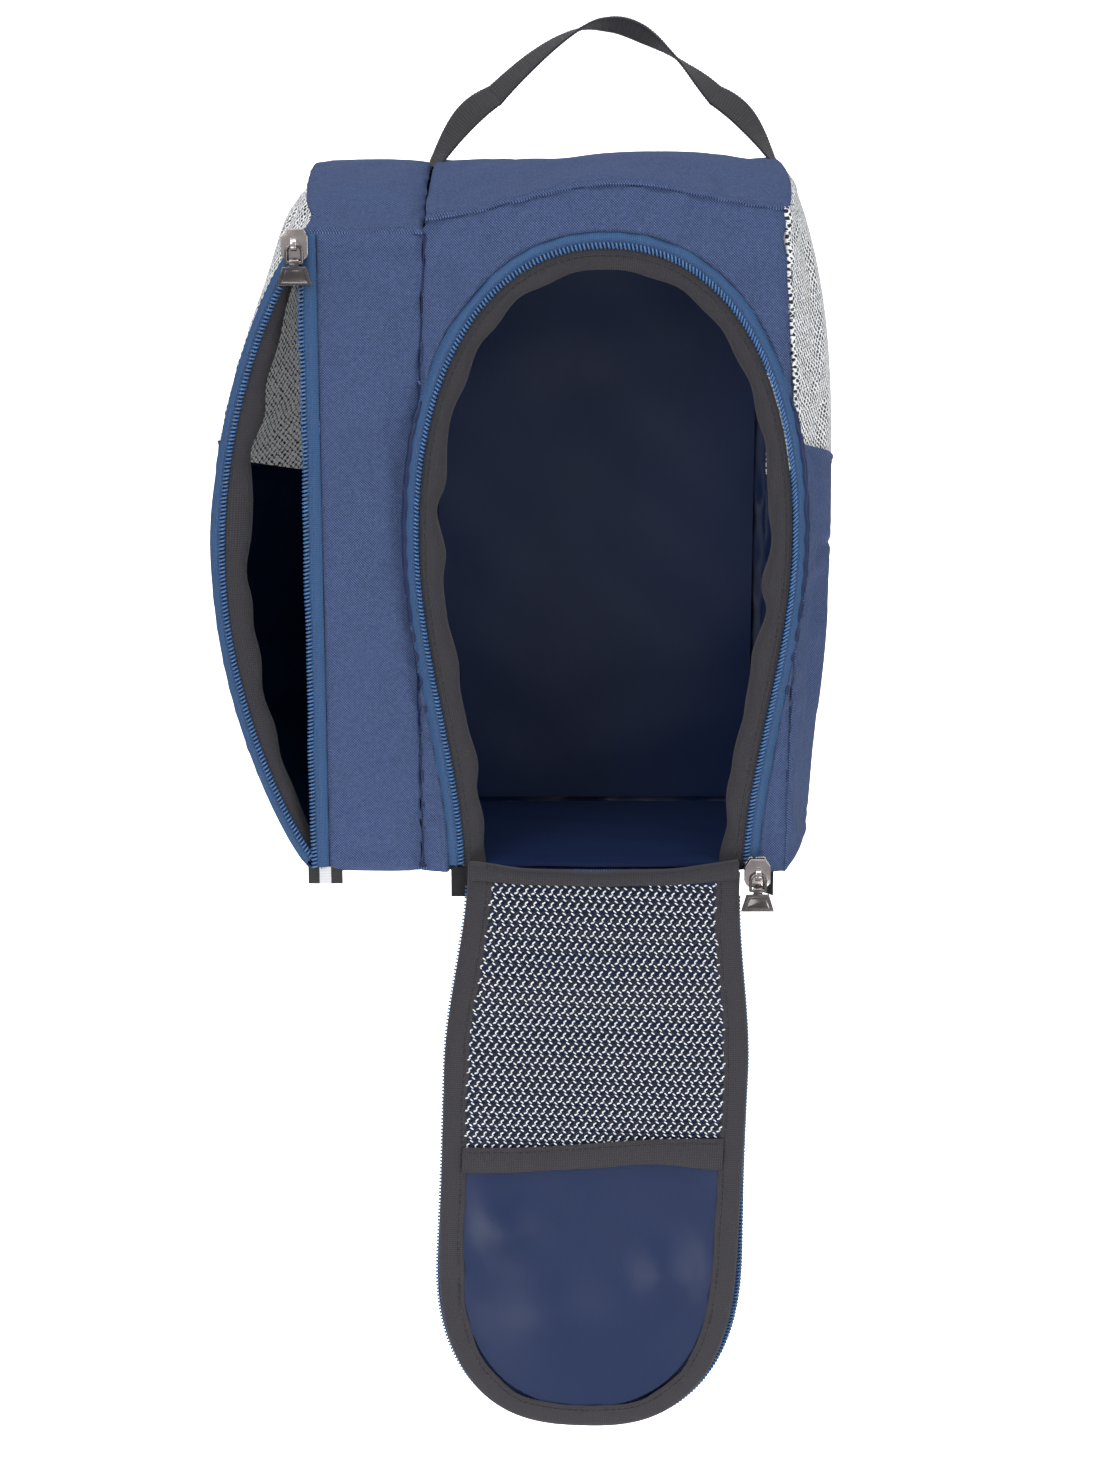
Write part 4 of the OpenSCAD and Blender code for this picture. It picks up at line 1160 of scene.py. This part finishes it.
def strand_mesh(name, a, b, radius, mat, rise=0.0):
    """Short round strands between matching ends, all in one mesh."""
    start, end = net_point(a[:, 0], a[:, 1]), net_point(b[:, 0], b[:, 1])
    start[:, 1] -= rise
    end[:, 1] -= rise
    span = end - start
    t = unit(span)
    side = unit(np.cross(FRONT, t))
    wide = np.broadcast_to(radius, len(a))[:, None]
    frames = np.stack([span, side * wide, np.cross(t, side) * wide], axis=1)
    return scatter(name, *spindle(1.0, 1.0, 6, 0.6), (start + end) / 2, frames, mat)


def build_door_net():
    place(strand_mesh("door_net_strands", *net_strands(), 0.45, net_dark), "door", "net", "door_mesh_pocket")
    place(strand_mesh("door_net_beads", *net_floats(), net_white, rise=0.3), "door", "net")
    half = float(door_w_at(142.0)) - BINDING_W + 2
    x = np.linspace(-1, 1, 81)[:, None] * half
    v = np.linspace(0, 1, 13)
    s = band_top(x) + v * (12.8 + 2.6 * ease((x - 15) / 45) + 0.6 * ripple(x, 60, 81))
    grid = on_door(x, -4.1 - 0.4 * hump(v) - 0.25 * ripple(x, 50, 82), s)
    band = panel("door_pocket_ribbon", grid, 0.9, [charcoal], FRONT, spread(x, s))
    place(band, "door", "binding_ribbon", "door_pocket_band")
    stitch = (black_thread, 2.1, 1.1, 0.26)
    seam("door_band_stitches", "door", "binding_ribbon", grid, FRONT, "v0", 2.4, stitch)


def build_door_zip():
    path, inward = door_edge(8.0, 361)
    s = lengths(path)[:, None]
    loose = 2.6 * bell(s - 0.67 * s[-1], 62) + 1.3 * bell(s - 0.34 * s[-1], 45)
    v = np.linspace(0, 1, 7)
    offset = lerp(9.0, 0.9, v) - loose * v
    flat = path[:, None] + inward[:, None] * offset[..., None]
    grid = on_door(flat[..., 0], 3.3 + 0.4 * hump(v), flat[..., 1])
    tape = panel("door_zip_tape_ribbon", grid, 0.6, [tape_blue], BACK, spread(s, offset))
    place(tape, "door", "zip_tape", "door_zip_tape")
    seam("door_zip_stitches", "door", "zip_tape", grid, BACK, "v0", 2.0)
    coil = path + inward * (0.4 - loose)
    line, outer = (on_door(p[:, 0], 3.2, p[:, 1]) for p in (coil, coil - inward))
    zip_coil("door_zip_coil", "door", line, outer - line)


def hinge_middle(x):
    """Height of the hinge ribbon, which sags between its ends; x is from the door's middle."""
    u = x / (MOUTH_HALF - 4)
    return -1.5 + 5.0 * u ** 2 + 1.2 * np.maximum(0, u) ** 3 + 0.35 * ripple(x, 40, 91)


def hinge_foot(x):
    return 0.6 * hinge_middle(x) - 3.6


def build_hinge_band():
    """Sewn fabric hinge: one ribbon from the base's front edge over on to the door."""
    half = MOUTH_HALF - 4
    x = np.linspace(-half, half, 91)[:, None]
    # how far forward, and the share of the ribbon's height
    line = np.array([(-65.2, 0.95), (-67.5, 1.0), (-70.2, 1.02), (-72.6, 0.96),
                     (-74.0, 0.7), (-74.5, 0.35), (-74.4, 0)])
    z = lerp(hinge_foot(x), hinge_middle(x) + 2.5, line[:, 1])
    grid = resample(spread(x + DOOR_CX, line[:, 0], z), 121, 31, 0.0)
    uv = spread(grid[..., 0], np.linspace(0, 13, 31))
    band = panel("hinge_ribbon", grid, 0.8, [charcoal], FRONT, uv)
    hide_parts("sill_band", "door_hinge_band")
    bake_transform(band)


# ---- metal ----
def bevelled(node, body, name, mat, width, segments=3, recess=None):
    """A cast part with rounded edges, from the CAD node's own shape."""
    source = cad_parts[node]
    mesh = source.data.copy()
    mesh.name = name
    work = bmesh.new()
    work.from_mesh(mesh)
    bmesh.ops.remove_doubles(work, verts=work.verts, dist=1e-6)
    bmesh.ops.dissolve_limit(work, angle_limit=math.radians(3), verts=work.verts, edges=work.edges)
    if recess:
        work.normal_update()
        front = max((f for f in work.faces if f.normal.y < -0.9), key=lambda f: f.calc_area())
        bmesh.ops.inset_region(work, faces=[front], thickness=recess[0] * MM, depth=-recess[1] * MM)
    work.to_mesh(mesh)
    work.free()
    mesh.materials.clear()
    mesh.materials.append(mat)
    obj = bpy.data.objects.new(name, mesh)
    bpy.context.scene.collection.objects.link(obj)
    obj.matrix_world = source.matrix_world
    modifier = obj.modifiers.new("Bevel", "BEVEL")
    modifier.width = width * MM
    modifier.segments = segments
    modifier.limit_method = "ANGLE"
    modifier.angle_limit = math.radians(35)
    bpy.context.view_layer.update()
    done = bpy.data.meshes.new_from_object(obj.evaluated_get(bpy.context.evaluated_depsgraph_get()))
    obj.modifiers.clear()
    obj.data = done
    done.polygons.foreach_set("use_smooth", np.ones(len(done.polygons), bool))
    done.set_sharp_from_angle(angle=math.radians(40))
    place(obj, body, "pull_metal", node)


def build_metal():
    for zip_name in ("pocket", "main"):
        body = "pocket_slider" if zip_name == "pocket" else "bag"
        bevelled(zip_name + "_slider", body, zip_name + "_slider_cast", slider_metal, 1.1, segments=5)
        bevelled(zip_name + "_slider_bridge", body, zip_name + "_bridge_cast", slider_metal, 0.35)
        bevelled(zip_name + "_pull_plate", zip_name + "_plate", zip_name + "_plate_cast", pull_metal, 0.2,
                 recess=(1.5, 0.45))
        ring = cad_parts[zip_name + "_pull_ring"]
        ring.data.materials.clear()
        ring.data.materials.append(pull_metal)


# ---- stage ----
def area_light(name, place_at, aim, size, power):
    data = bpy.data.lights.new(name, "AREA")
    data.shape = "RECTANGLE"
    data.size, data.size_y = size
    data.energy = power
    obj = bpy.data.objects.new(name, data)
    bpy.context.scene.collection.objects.link(obj)
    obj.location = place_at
    obj.rotation_euler = (Vector(aim) - Vector(place_at)).to_track_quat("-Z", "Y").to_euler()
    return obj


def build_stage():
    floor_z = -0.62
    profile = [(-2.6, 0.0), (1.2, 0.0)]
    profile += [(1.2 + 0.9 * math.sin(a), 0.9 - 0.9 * math.cos(a)) for a in np.linspace(0.1, PI / 2, 12)]
    profile += [(2.1, 3.2)]
    points, faces = [], []
    for i, (y, z) in enumerate(profile):
        points += [(-3.5, y, floor_z + z), (3.5, y, floor_z + z)]
        if i:
            faces.append((2 * i - 2, 2 * i - 1, 2 * i + 1, 2 * i))
    mesh = bpy.data.meshes.new("studio_sweep")
    mesh.from_pydata(points, [], faces)
    mesh.polygons.foreach_set("use_smooth", np.ones(len(faces), bool))
    n = Nodes("studio_white", 0.9, specular=0.1)
    mesh.materials.append(n.finish((0.93, 0.93, 0.935, 1)))
    stage = bpy.data.objects.new("studio_sweep", mesh)
    bpy.context.scene.collection.objects.link(stage)
    stage.visible_glossy = False
    world = bpy.data.worlds.new("studio")
    world.use_nodes = True
    background = world.node_tree.nodes["Background"]
    background.inputs["Color"].default_value = (0.97, 0.98, 1.0, 1)
    background.inputs["Strength"].default_value = 0.42
    bpy.context.scene.world = world
    bpy.context.scene.view_settings.view_transform = "Standard"
    area_light("key", (-1.0, -1.4, 1.0), (0.0, 0.0, 0.08), (0.9, 0.9), 13.5)
    area_light("fill", (1.2, -1.3, 0.5), (0.0, 0.0, 0.0), (0.8, 1.0), 9)
    low_lights = (("low_left", (-0.33, -0.66, -0.44), 1.2), ("low_right", (0.34, -0.66, -0.42), 0.8))
    for name, place_at, power in low_lights:
        area_light(name, place_at, (0.0, -0.07, -0.17), (0.26, 0.22), power).visible_camera = False
    area_light("top", (0.0, -0.5, 1.5), (0.0, 0.0, 0.25), (1.2, 0.8), 13)
    stage_only = bpy.data.collections.new("stage_only")
    stage_only.objects.link(stage)
    washes = (("backdrop", (0.0, 0.5, 1.4), (0.0, 2.1, 0.6), 60),
              ("floor_wash", (0, 0.65, 0.62), (0, 0.65, 0), 26))
    for name, place_at, aim, power in washes:
        light = area_light(name, place_at, aim, (3.0, 0.7), power)
        light.light_linking.receiver_collection = stage_only


def build_camera():
    """Long lens a little above the middle of the bag and its open door."""
    distance, elevation = 1.2, math.radians(13)
    target = Vector((0, 0, 0.0543))
    data = bpy.data.cameras.new("camera")
    data.sensor_fit = "VERTICAL"
    data.sensor_height = 36
    data.lens = 58.15
    camera = bpy.data.objects.new("camera", data)
    bpy.context.scene.collection.objects.link(camera)
    camera.location = target + Vector((0, -distance * math.cos(elevation), distance * math.sin(elevation)))
    camera.rotation_euler = (target - camera.location).to_track_quat("-Z", "Y").to_euler()
    bpy.context.scene.camera = camera


build_camera()
build_stage()
build_base()
build_back()
build_divider()
build_tops()
build_main_front()
build_pocket_front()
build_walls()
build_mouth()
build_pocket_zip()
folded_tab("pocket_tab_ribbon", "pocket_zip_tab", stripe)
folded_tab("main_tab_ribbon_left", "main_zip_tab_left", black_ribbon)
folded_tab("main_tab_ribbon_right", "main_zip_tab_right", black_ribbon, tilt=-0.35)
build_handle()
build_door()
build_hinge_band()
build_metal()
